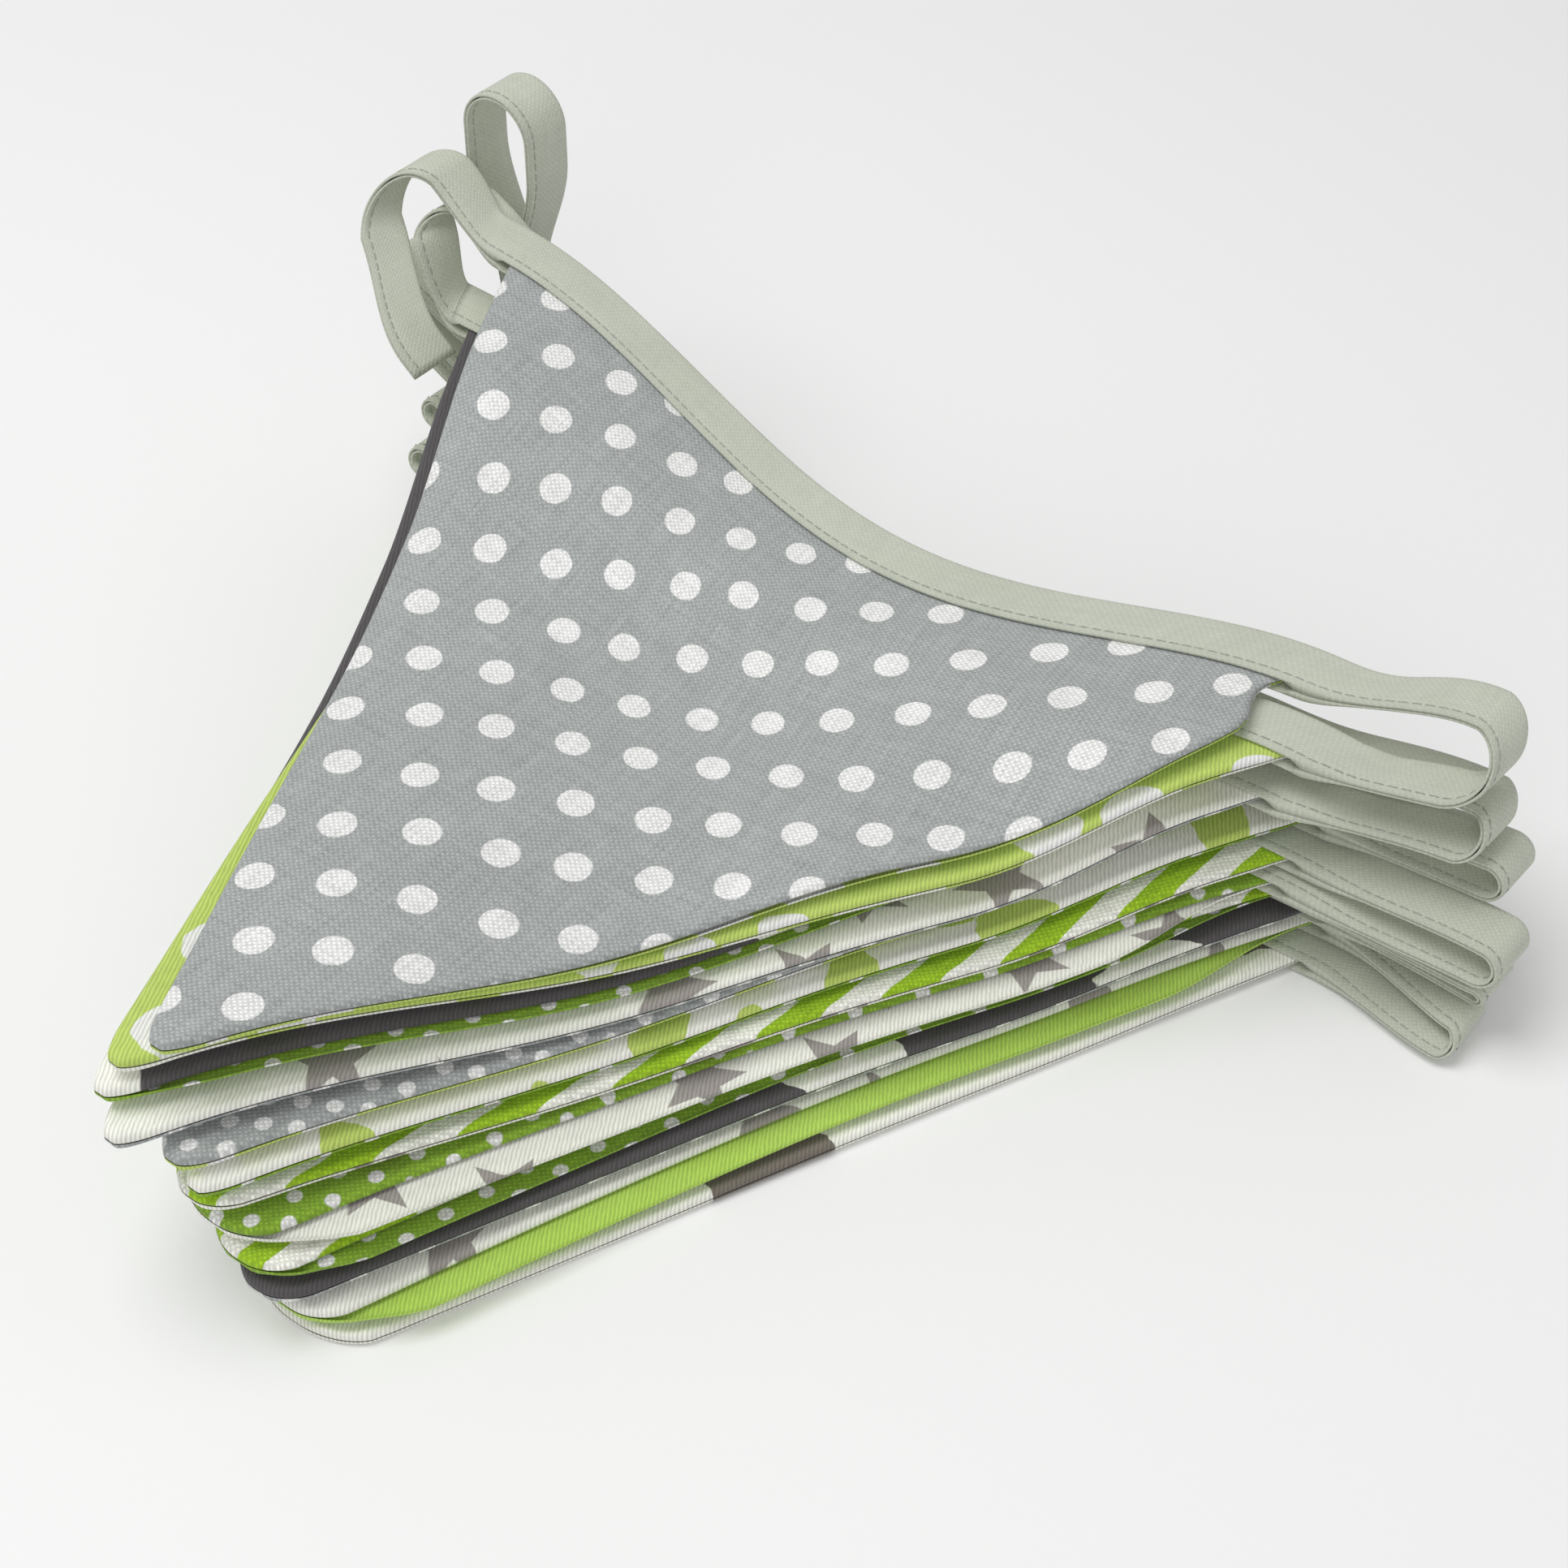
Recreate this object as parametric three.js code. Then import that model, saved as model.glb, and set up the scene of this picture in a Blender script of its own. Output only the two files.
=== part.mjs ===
// A string of fabric pennants, folded back and forth on its tape into one flat stack.
// Millimetres, +Z up. X runs along the tape, Y from the points of the pennants to the tape.
import * as THREE from 'three';

// One finished pennant: two triangles of cloth sewn together at the edges.
const PENNANT_WIDTH = 194;
const PENNANT_DROP = 201;
const CLOTH = 1.0;
const CLOTH_IN_TAPE = 0.7;
const CLOTH_AT_EDGE = 0.45;
const LAYER_GAP = 0.3;
const POINT_HALF_WIDTH = 2.6;
const BLUNT_ROUND = 0.4;
const COLUMNS = [-1, -0.97, -0.66, -0.33, 0, 0.33, 0.66, 0.97, 1];

// Rows of a panel, from the top edge inside the tape down to the point.
const ROWS = [
  { down: 2.0, inTape: true, narrow: 0 },
  { down: 12.4, inTape: true, narrow: 0 },
  { down: 20, inTape: false, narrow: 0 },
  { down: 50, inTape: false, narrow: 0 },
  { down: 84, inTape: false, narrow: 0 },
  { down: 118, inTape: false, narrow: 0 },
  { down: 150, inTape: false, narrow: 0 },
  { down: 178, inTape: false, narrow: 0 },
  { down: 195, inTape: false, narrow: 0 },
  { down: 201, inTape: false, narrow: 1.6 },
];

// The tape is folded over the top edges and sewn; between the pennants it is closed flat.
const TAPE_WIDTH = 12;
const TAPE_WALL = 0.6;
const TAPE_CLEAR = 0.4;
const TAPE_OVERHANG = 1.6;
const TAPE_CLOSING = 4;
const BELOW_TAPE = 13;
const FOLD_ROUND = 0.8;
const SLOT_END = 1.2;
const CLOSED_SLOT_END = 10.2;
const CLOSED_HALF = 0.75;
const CLOSED_SLIT_HALF = 0.15;
const SLOT_HALF = LAYER_GAP / 2 + CLOTH_IN_TAPE + TAPE_CLEAR;
const TAPE_HALF = SLOT_HALF + TAPE_WALL;

// How the layers lie: the pitch of the stack at the tape and in the loose cloth.
const PITCH_AT_TAPE = 4.1;
const PITCH_IN_CLOTH = 3.3;
const BAND_NEAR = -22;
const BAND_FAR = -64;
const BASE_AT_TAPE = TAPE_HALF;
const BASE_IN_CLOTH = CLOTH + LAYER_GAP / 2;

// Soft rises of the top of the stack: where, how wide, how high, and how fast lower layers flatten.
const RISES = [
  { x: -124, y: 6, reach: 70, rise: 13, power: 3 },
  { x: 104, y: 6, reach: 60, rise: 5, power: 1 },
  { x: 0, y: -192, reach: 62, rise: 8, power: 1 },
];
const LEFT_RIDGE = { x: -45, y: -94, reach: 42, rise: 10 };
const WAVES = [
  { along: 30, length: 74, shift: 0.4, rise: 0.7 },
  { along: 118, length: 96, shift: 2.1, rise: 0.6 },
];

// Mean colours of the printed cloths.
const CLOTH_ROUGHNESS = 0.9;
const FABRICS = {
  greyDots: 0xa9adac,
  limeSpots: 0xb4cf64,
  charcoal: 0x5c585c,
  greenDots: 0x7ea23a,
  whiteStars: 0xdedcd4,
  greyFineDots: 0xa4a9a8,
  whiteLeaves: 0xdce4c0,
  limeStripes: 0xb8d25c,
  plainLime: 0xaacf66,
  whiteTaupe: 0xd8d5cc,
};

// Each pennant from the top down: how far it slid in the stack, its turn, how its sides bow,
// and how much of its point is turned under.
const PENNANTS = [
  { slide: -1, back: 13, turn: 0.5, bow: -0.8, blunt: 0, cloth: 'greyDots', lining: 'limeSpots' },
  { slide: 10, back: 8.5, turn: -4.5, bow: -4.5, blunt: 0, cloth: 'limeSpots', lining: 'whiteLeaves' },
  { slide: -8, back: 6, turn: 0.4, bow: 3.2, blunt: 0, cloth: 'charcoal', lining: 'greenDots' },
  { slide: 7, back: 2.5, turn: -2.5, bow: -4.3, blunt: 0, cloth: 'whiteStars', lining: 'greyFineDots' },
  { slide: 3.5, back: 6.5, turn: 0.5, bow: -4.6, blunt: 2, cloth: 'greyFineDots', lining: 'limeSpots' },
  { slide: 12.5, back: 9, turn: -1, bow: -6.9, blunt: 0, cloth: 'whiteLeaves', lining: 'greenDots' },
  { slide: 13, back: 4, turn: -2, bow: -5.3, blunt: 6, cloth: 'limeStripes', lining: 'whiteStars' },
  { slide: 12, back: -0.5, turn: -1, bow: -9, blunt: 12, cloth: 'greenDots', lining: 'whiteStars' },
  { slide: 13, back: 1, turn: 0.5, bow: -9.5, blunt: 10, cloth: 'limeStripes', lining: 'greenDots' },
  { slide: 16.5, back: 4, turn: 0.5, bow: -5, blunt: 7, cloth: 'charcoal', lining: 'greyFineDots' },
  { slide: 16.5, back: 4, turn: 1.5, bow: -6.5, blunt: 10, cloth: 'whiteStars', lining: 'plainLime' },
  { slide: 17, back: -2, turn: 1.5, bow: -1, blunt: 17, cloth: 'whiteTaupe', lining: 'whiteTaupe' },
];
const TOP_LEVEL = PENNANTS.length - 1;

// Lower cloths that stand out past the front edge of their upper cloth, and hang a little lower.
const PEEKS = [
  { pennant: 3, out: 2 },
  { pennant: 8, out: 6.5 },
  { pennant: 9, out: 4 },
  { pennant: 11, out: 6.2 },
];
const PEEK_FULL_FROM = 45;
const PEEK_FULL_TO = 185;
const PEEK_HANG = 0.2;
// The front edge of the top pennant swells out just below its tape.
const SWELL = { out: 9.5, full: 26, down: 40, reach: 36 };

// The tape hangs in a shallow curve between the corners, deepest past the middle, more so on top.
const SAG = { top: 16, bottom: 3, fade: 110, skew: 1.3 };

// Bights of tape between neighbours: reach past the corner, tip height, tip radius, tilt and sway.
const RIGHT_BIGHTS = [
  { reach: 36, tip: 51.5, radius: 5.6, tilt: -2, sway: 8 },
  { reach: 45, tip: 38.8, radius: 3.2, tilt: -2, sway: 10 },
  { reach: 38.5, tip: 29.6, radius: 3.4, tilt: 0, sway: 6 },
  { reach: 35.5, tip: 20.2, radius: 3.2, tilt: -4, sway: 4 },
  { reach: 33, tip: 11.8, radius: 2.2, tilt: -3, sway: 0 },
  { reach: 28, tip: 4.2, radius: 2.0, tilt: 0, sway: -7 },
];
const LEFT_BIGHTS = [
  { reach: 26, tip: 69.8, radius: 2.4, tilt: 34, sway: 0 },
  { reach: 38, tip: 54, radius: 2.4, tilt: 28, sway: 3 },
  { reach: 42, tip: 43, radius: 2.4, tilt: 26, sway: 2 },
  { reach: 27, tip: 28, radius: 2.4, tilt: 18, sway: 4 },
  { reach: 34, tip: 16, radius: 2.4, tilt: 10, sway: 0 },
];
// The free end of the top pennant arches over and comes down in front; the lowest one lies out flat.
const ARCH = {
  reach: 25.5, tip: 73.5, radius: 6, tilt: 40, sway: 8.5, endReach: -3, endHeight: 53, endNear: 25.5,
};
const TAIL = { reach: 30, tip: 1.0, stations: 4 };
const RUN_STATIONS = 4;
const TURN_STATIONS = 6;

// A loop of the same tape stands behind the left end, its two ends together, for hanging the string.
const LOOP = { x: -110.2, near: 17.45, foot: 46, shoulder: 76, crown: 84, half: 8.4, footHalf: 0.95 };
const LIMB_STATIONS = 5;
const CROWN_STATIONS = 9;
const TAPE_COLOUR = 0xc2c9b6;

const radians = THREE.MathUtils.degToRad;

function soft(from, to, value) {
  const t = THREE.MathUtils.clamp((value - from) / (to - from), 0, 1);
  return t * t * (3 - 2 * t);
}

// Height of the middle of a layer at a place in the plan; level 0 lies on the ground.
function layerHeight(x, y, level) {
  const share = level / TOP_LEVEL;
  const band = soft(BAND_FAR, BAND_NEAR, y);
  let z = THREE.MathUtils.lerp(BASE_IN_CLOTH, BASE_AT_TAPE, band);
  z += level * THREE.MathUtils.lerp(PITCH_IN_CLOTH, PITCH_AT_TAPE, band);
  for (const r of RISES) {
    const d2 = ((x - r.x) ** 2 + (y - r.y) ** 2) / r.reach ** 2;
    z += r.rise * Math.exp(-d2) * share ** r.power;
  }
  const side = Math.atan2(PENNANT_DROP, PENNANT_WIDTH / 2);
  const off = (x - LEFT_RIDGE.x) * Math.sin(side) + (y - LEFT_RIDGE.y) * Math.cos(side);
  const away = Math.max(off, 0) / LEFT_RIDGE.reach;
  z += LEFT_RIDGE.rise * Math.exp(-away * away) * share;
  for (const w of WAVES) {
    const a = radians(w.along);
    const phase = (x * Math.cos(a) + y * Math.sin(a)) * 2 * Math.PI / w.length + w.shift;
    z += w.rise * (1 + Math.sin(phase)) * share * (1 - band);
  }
  return z;
}

// A place on a pennant, along its tape and down from the fold of the tape, in the plan.
function planOf(index, along, down) {
  const row = PENNANTS[index];
  const a = radians(row.turn);
  const share = THREE.MathUtils.clamp(along / PENNANT_WIDTH + 0.5, 0, 1);
  const middle = Math.sin(Math.PI * share ** SAG.skew) ** 2;
  const sag = THREE.MathUtils.lerp(SAG.top, SAG.bottom, index / TOP_LEVEL);
  const drop = down + sag * middle * (1 - soft(0, SAG.fade, down));
  return new THREE.Vector2(
    row.slide + along * Math.cos(a) + drop * Math.sin(a),
    row.back + along * Math.sin(a) - drop * Math.cos(a),
  );
}

function halfWidth(down) {
  const share = 1 - down / PENNANT_DROP;
  return POINT_HALF_WIDTH + (PENNANT_WIDTH / 2 - POINT_HALF_WIDTH) * share;
}

function onPennant(index, along, down, rise) {
  const p = planOf(index, along, down);
  return new THREE.Vector3(p.x, p.y, layerHeight(p.x, p.y, TOP_LEVEL - index) + rise);
}

function solid(name, points, triangles, colour) {
  const geometry = new THREE.BufferGeometry();
  const flat = points.flatMap((p) => [p.x, p.y, p.z]);
  geometry.setAttribute('position', new THREE.Float32BufferAttribute(flat, 3));
  geometry.setIndex(triangles);
  geometry.computeVertexNormals();
  const finish = { color: colour, roughness: CLOTH_ROUGHNESS };
  const mesh = new THREE.Mesh(geometry, new THREE.MeshStandardMaterial(finish));
  mesh.name = name;
  return mesh;
}

// How far the front edge of a cloth stands out past the side of its triangle.
function standsOut(index, face, down) {
  if (index === 0) {
    const away = (down - SWELL.down) / SWELL.reach;
    return SWELL.out * soft(BELOW_TAPE, SWELL.full, down) * Math.exp(-away * away);
  }
  const peek = PEEKS.find(({ pennant }) => pennant === index + 1);
  if (face > 0 || !peek) return 0;
  return peek.out * soft(BELOW_TAPE, PEEK_FULL_FROM, down) * (1 - soft(PEEK_FULL_TO, PENNANT_DROP, down));
}

// One cloth of a pennant; face is +1 for the upper cloth and -1 for the lower one.
function panel(index, face) {
  const { bow, blunt, cloth, lining } = PENNANTS[index];
  const inner = [];
  const outer = [];
  for (const row of ROWS) {
    const belly = bow * Math.sin(Math.PI * row.down / PENNANT_DROP);
    const down = row.down - blunt * soft(TAPE_WIDTH, PENNANT_DROP, row.down);
    const rounded = row.narrow > 0 ? BLUNT_ROUND * blunt : 0;
    const half = halfWidth(down) - row.narrow - rounded;
    const front = standsOut(index, face, row.down);
    const hang = index > 0 && front > 0 ? PEEK_HANG : 0;
    const clear = LAYER_GAP / 2 + hang;
    for (const column of COLUMNS) {
      const along = column * half + belly * Math.abs(column) + front * Math.max(column, 0);
      const rim = Math.abs(column) === 1 || row === ROWS[ROWS.length - 1];
      const thick = rim ? CLOTH_AT_EDGE : row.inTape ? CLOTH_IN_TAPE : CLOTH;
      inner.push(onPennant(index, along, down, face * clear));
      outer.push(onPennant(index, along, down, face * (clear + thick)));
    }
  }
  const upper = face > 0 ? outer : inner;
  const lower = face > 0 ? inner : outer;
  const wide = COLUMNS.length;
  const tall = ROWS.length;
  const under = upper.length;
  const triangles = [];
  for (let r = 0; r + 1 < tall; r += 1) {
    for (let c = 0; c + 1 < wide; c += 1) {
      const a = r * wide + c;
      const b = a + wide;
      triangles.push(a, b, b + 1, a, b + 1, a + 1);
      triangles.push(a + under, b + 1 + under, b + under, a + under, a + 1 + under, b + 1 + under);
    }
  }
  const ring = [];
  for (let r = 0; r < tall; r += 1) ring.push(r * wide);
  for (let c = 1; c < wide; c += 1) ring.push((tall - 1) * wide + c);
  for (let r = tall - 2; r >= 0; r -= 1) ring.push(r * wide + wide - 1);
  for (let c = wide - 2; c > 0; c -= 1) ring.push(c);
  ring.forEach((a, i) => {
    const b = ring[(i + 1) % ring.length];
    triangles.push(a, a + under, b + under, a, b + under, b);
  });
  const name = `pennant_${String(index + 1).padStart(2, '0')}_${face > 0 ? 'upper' : 'lower'}`;
  return solid(name, [...upper, ...lower], triangles, FABRICS[face > 0 ? cloth : lining]);
}

// Section of the tape: distance from the fold and offset from the middle of the layer.
function tapeSection(half, slit, slotEnd) {
  return [
    { down: 0, rise: 0 },
    { down: FOLD_ROUND, rise: half },
    { down: TAPE_WIDTH, rise: half },
    { down: TAPE_WIDTH, rise: slit },
    { down: slotEnd, rise: slit },
    { down: slotEnd, rise: -slit },
    { down: TAPE_WIDTH, rise: -slit },
    { down: TAPE_WIDTH, rise: -half },
    { down: FOLD_ROUND, rise: -half },
  ];
}
const OPEN_SECTION = tapeSection(TAPE_HALF, SLOT_HALF, SLOT_END);
const CLOSING_SECTION = tapeSection(TAPE_HALF, CLOSED_SLIT_HALF, CLOSED_SLOT_END);
const CLOSED_SECTION = tapeSection(CLOSED_HALF, CLOSED_SLIT_HALF, CLOSED_SLOT_END);

// Sections of the tape along one pennant; flip is -1 where the tape runs back with its other face up.
function alongPennant(index, flip) {
  const ring = (section, column, past) => section.map(({ down, rise }) => {
    const along = column * halfWidth(down) + past * Math.sign(column);
    return onPennant(index, along, down, flip * rise);
  });
  const rings = COLUMNS.map((column) => {
    const past = Math.abs(column) === 1 ? TAPE_OVERHANG : 0;
    return ring(OPEN_SECTION, column, past);
  });
  rings.unshift(ring(CLOSING_SECTION, -1, TAPE_CLOSING));
  rings.push(ring(CLOSING_SECTION, 1, TAPE_CLOSING));
  return flip > 0 ? rings : rings.reverse();
}

// Where the tape leaves a pennant: its corner, outward heading, height and slope.
function corner(index, side) {
  const row = PENNANTS[index];
  const edge = side * (halfWidth(TAPE_WIDTH / 2) + TAPE_CLOSING);
  const at = onPennant(index, edge, TAPE_WIDTH / 2, 0);
  const next = onPennant(index, edge + side, TAPE_WIDTH / 2, 0);
  const a = radians(row.turn);
  return {
    plan: new THREE.Vector2(at.x, at.y),
    out: new THREE.Vector2(side * Math.cos(a), side * Math.sin(a)),
    across: new THREE.Vector2(-Math.sin(a), Math.cos(a)),
    height: at.z,
    slope: next.z - at.z,
  };
}

function hermite(p0, m0, p1, m1, t) {
  const a = 2 * t ** 3 - 3 * t ** 2 + 1;
  const b = t ** 3 - 2 * t ** 2 + t;
  const c = -2 * t ** 3 + 3 * t ** 2;
  const d = t ** 3 - t ** 2;
  return a * p0 + b * m0 + c * p1 + d * m1;
}

// The middle line of a bight as stations of outward distance and height: out, round the tip, back.
function bightLine(from, to, bight) {
  const tilt = radians(bight.tilt);
  const rise = Math.tan(tilt);
  const centre = bight.reach - bight.radius;
  const line = [];
  const start = {
    out: centre - bight.radius * Math.sin(tilt),
    height: bight.tip + bight.radius * Math.cos(tilt),
  };
  const finish = {
    out: centre + bight.radius * Math.sin(tilt),
    height: bight.tip - bight.radius * Math.cos(tilt),
  };
  const run = (end, other, t) => {
    const span = other.out - end.out;
    return {
      out: THREE.MathUtils.lerp(end.out, other.out, t),
      height: hermite(end.height, end.slope * span, other.height, rise * span, t),
    };
  };
  for (let i = 1; i < RUN_STATIONS; i += 1) {
    line.push(run(from, start, i / RUN_STATIONS));
  }
  for (let i = 0; i <= TURN_STATIONS; i += 1) {
    const a = Math.PI / 2 - Math.PI * i / TURN_STATIONS + tilt;
    line.push({
      out: centre + bight.radius * Math.cos(a),
      height: bight.tip + bight.radius * Math.sin(a),
    });
  }
  for (let i = RUN_STATIONS - 1; i >= 1; i -= 1) {
    line.push(run(to, finish, i / RUN_STATIONS));
  }
  return line;
}

// Closed sections of tape set square to a line of stations that starts at one corner.
function closedSections(line, start, end, sway, reach, flip, before, after) {
  return line.map((station, i) => {
    const back = i > 0 ? line[i - 1] : before;
    const ahead = i + 1 < line.length ? line[i + 1] : after;
    const run = new THREE.Vector2(ahead.out - back.out, ahead.height - back.height).normalize();
    const blend = soft(0, line.length - 1, i);
    const swing = sway * soft(0, reach, station.out);
    const near = start.plan.clone().addScaledVector(start.out, station.out);
    const far = end.plan.clone().addScaledVector(end.out, station.out);
    const plan = near.lerp(far, blend);
    const out = start.out.clone().lerp(end.out, blend).normalize();
    const across = start.across.clone().lerp(end.across, blend).normalize();
    plan.addScaledVector(across, swing);
    return CLOSED_SECTION.map(({ down, rise }) => {
      const side = TAPE_WIDTH / 2 - down;
      const level = flip * rise;
      return new THREE.Vector3(
        plan.x + across.x * side - out.x * run.y * level,
        plan.y + across.y * side - out.y * run.y * level,
        station.height + run.x * level,
      );
    });
  });
}

function bightSections(index, side, bight) {
  const start = corner(index, side);
  const end = corner(index + 1, side);
  const offset = start.plan.clone().sub(end.plan).dot(start.out);
  const from = { out: 0, height: start.height, slope: start.slope };
  const to = { out: -offset, height: end.height, slope: end.slope };
  const line = bightLine(from, to, bight);
  const shifted = { ...end, plan: end.plan.clone().addScaledVector(end.out, offset) };
  return closedSections(line, start, shifted, bight.sway, bight.reach, side, from, to);
}

function archSections() {
  const start = corner(0, -1);
  const from = { out: 0, height: start.height, slope: start.slope };
  const to = { out: ARCH.endReach, height: ARCH.endHeight, slope: Math.tan(radians(ARCH.tilt)) };
  const end = { ...start, plan: start.plan.clone().addScaledVector(start.across, -ARCH.endNear) };
  const line = bightLine(from, to, ARCH);
  line.push(to);
  const beyond = { out: to.out - 1, height: to.height - to.slope };
  return closedSections(line, start, end, ARCH.sway, ARCH.reach, 1, from, beyond);
}

function tailSections() {
  const index = TOP_LEVEL;
  const start = corner(index, -1);
  const from = { out: 0, height: start.height };
  const line = [];
  for (let i = 1; i <= TAIL.stations; i += 1) {
    const t = i / TAIL.stations;
    const height = THREE.MathUtils.lerp(start.height, TAIL.tip, soft(0, 1, t));
    line.push({ out: TAIL.reach * t, height });
  }
  const beyond = { out: TAIL.reach + 1, height: TAIL.tip };
  return closedSections(line, start, start, 0, TAIL.reach, -1, from, beyond);
}

// A closed skin over rings of points that all have the same count.
function skin(name, rings, cap, colour) {
  const count = rings[0].length;
  const triangles = [];
  for (let r = 0; r + 1 < rings.length; r += 1) {
    for (let i = 0; i < count; i += 1) {
      const j = (i + 1) % count;
      const a = r * count;
      const b = a + count;
      triangles.push(a + i, a + j, b + j, a + i, b + j, b + i);
    }
  }
  const last = (rings.length - 1) * count;
  for (const [i, j, k] of cap) {
    triangles.push(i, k, j);
    triangles.push(last + i, last + j, last + k);
  }
  return solid(name, rings.flat(), triangles, colour);
}

function capOf(section) {
  const outline = section.map(({ down, rise }) => new THREE.Vector2(-down, rise));
  return THREE.ShapeUtils.triangulateShape(outline, []);
}

// The whole tape in one piece: free end, along each pennant in turn with a bight between, free end.
function tape() {
  const rings = archSections().reverse();
  PENNANTS.forEach((row, index) => {
    const flip = index % 2 === 0 ? 1 : -1;
    rings.push(...alongPennant(index, flip));
    if (index === TOP_LEVEL) return;
    const bights = flip > 0 ? RIGHT_BIGHTS : LEFT_BIGHTS;
    const bight = bights[Math.floor(index / 2)];
    rings.push(...bightSections(index, flip, bight));
  });
  rings.push(...tailSections());
  return skin('tape', rings, capOf(CLOSED_SECTION), TAPE_COLOUR);
}

function hangingLoop() {
  const limb = [];
  for (let i = 0; i < LIMB_STATIONS; i += 1) {
    const z = THREE.MathUtils.lerp(LOOP.foot, LOOP.crown, i / LIMB_STATIONS);
    const spread = soft(LOOP.foot, LOOP.shoulder, z);
    limb.push({ off: THREE.MathUtils.lerp(LOOP.footHalf, LOOP.half, spread), z });
  }
  const line = limb.map(({ off, z }) => ({ x: LOOP.x + off, z }));
  for (let i = 0; i <= CROWN_STATIONS; i += 1) {
    const a = Math.PI * i / CROWN_STATIONS;
    line.push({ x: LOOP.x + LOOP.half * Math.cos(a), z: LOOP.crown + LOOP.half * Math.sin(a) });
  }
  line.push(...limb.reverse().map(({ off, z }) => ({ x: LOOP.x - off, z })));
  const rings = line.map((station, i) => {
    const a = line[Math.max(i - 1, 0)];
    const b = line[Math.min(i + 1, line.length - 1)];
    const run = new THREE.Vector2(b.x - a.x, b.z - a.z).normalize();
    return CLOSED_SECTION.map(({ down, rise }) => new THREE.Vector3(
      station.x - run.y * rise,
      LOOP.near + TAPE_WIDTH - down,
      station.z + run.x * rise,
    ));
  });
  return skin('hanging_loop', rings, capOf(CLOSED_SECTION), TAPE_COLOUR);
}

const bunting = new THREE.Group();
bunting.name = 'bunting';
PENNANTS.forEach((row, index) => {
  bunting.add(panel(index, 1));
  bunting.add(panel(index, -1));
});
bunting.add(tape());
bunting.add(hangingLoop());

// The origin is under the middle of the stack, on the surface it lies on.
const box = new THREE.Box3().setFromObject(bunting);
const middle = box.getCenter(new THREE.Vector3());
bunting.position.set(-middle.x, -middle.y, -box.min.z);

export default bunting;
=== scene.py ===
import math

import bpy
import numpy as np
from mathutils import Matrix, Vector


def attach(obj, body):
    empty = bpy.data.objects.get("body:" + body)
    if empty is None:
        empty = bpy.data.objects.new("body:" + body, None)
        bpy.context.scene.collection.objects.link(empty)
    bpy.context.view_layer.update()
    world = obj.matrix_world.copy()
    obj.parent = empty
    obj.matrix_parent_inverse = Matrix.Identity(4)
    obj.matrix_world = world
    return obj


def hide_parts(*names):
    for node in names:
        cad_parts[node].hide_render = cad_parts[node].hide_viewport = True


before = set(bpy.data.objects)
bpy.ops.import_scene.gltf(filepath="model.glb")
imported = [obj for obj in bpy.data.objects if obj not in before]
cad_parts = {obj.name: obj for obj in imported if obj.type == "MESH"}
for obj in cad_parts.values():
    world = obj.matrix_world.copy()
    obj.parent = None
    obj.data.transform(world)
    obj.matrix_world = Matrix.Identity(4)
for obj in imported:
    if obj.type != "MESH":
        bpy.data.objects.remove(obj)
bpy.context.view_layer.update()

# Sizes of the string and of its stack, in millimetres, as in the solids.
MM = 0.001
PENNANT_WIDTH, PENNANT_DROP = 194.0, 201.0
POINT_HALF_WIDTH, POINT_ROUND, POINT_END = 2.6, 6.0, 0.9
LAYER_GAP, CLOTH, CLOTH_IN_TAPE, SHEET = 0.3, 1.0, 0.7, 0.5
TAPE_WIDTH, TAPE_WALL, TAPE_OVERHANG, TAPE_CLOSING = 12.0, 0.6, 1.6, 4.0
BELOW_TAPE = 13.0
TAPE_HALF, CLOSED_HALF, CLOSED_SLIT, SLOT_END = 1.85, 0.75, 0.15, 1.2
PITCH_AT_TAPE, PITCH_IN_CLOTH = 4.1, 3.3
BAND_NEAR, BAND_FAR = -22.0, -64.0
BASE_AT_TAPE, BASE_IN_CLOTH = 1.85, 1.15
MIDDLE = (8.585, -84.451)

RISES = [
    dict(x=-124, y=6, reach=70, rise=13, power=3),
    dict(x=104, y=6, reach=60, rise=5, power=1),
    dict(x=0, y=-192, reach=62, rise=8, power=1),
]
LEFT_RIDGE = dict(x=-45, y=-94, reach=42, rise=10)
WAVES = [
    dict(along=30, length=74, shift=0.4, rise=0.7),
    dict(along=118, length=96, shift=2.1, rise=0.6),
]
SAG = dict(top=16, bottom=3, fade=110, skew=1.3)

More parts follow.
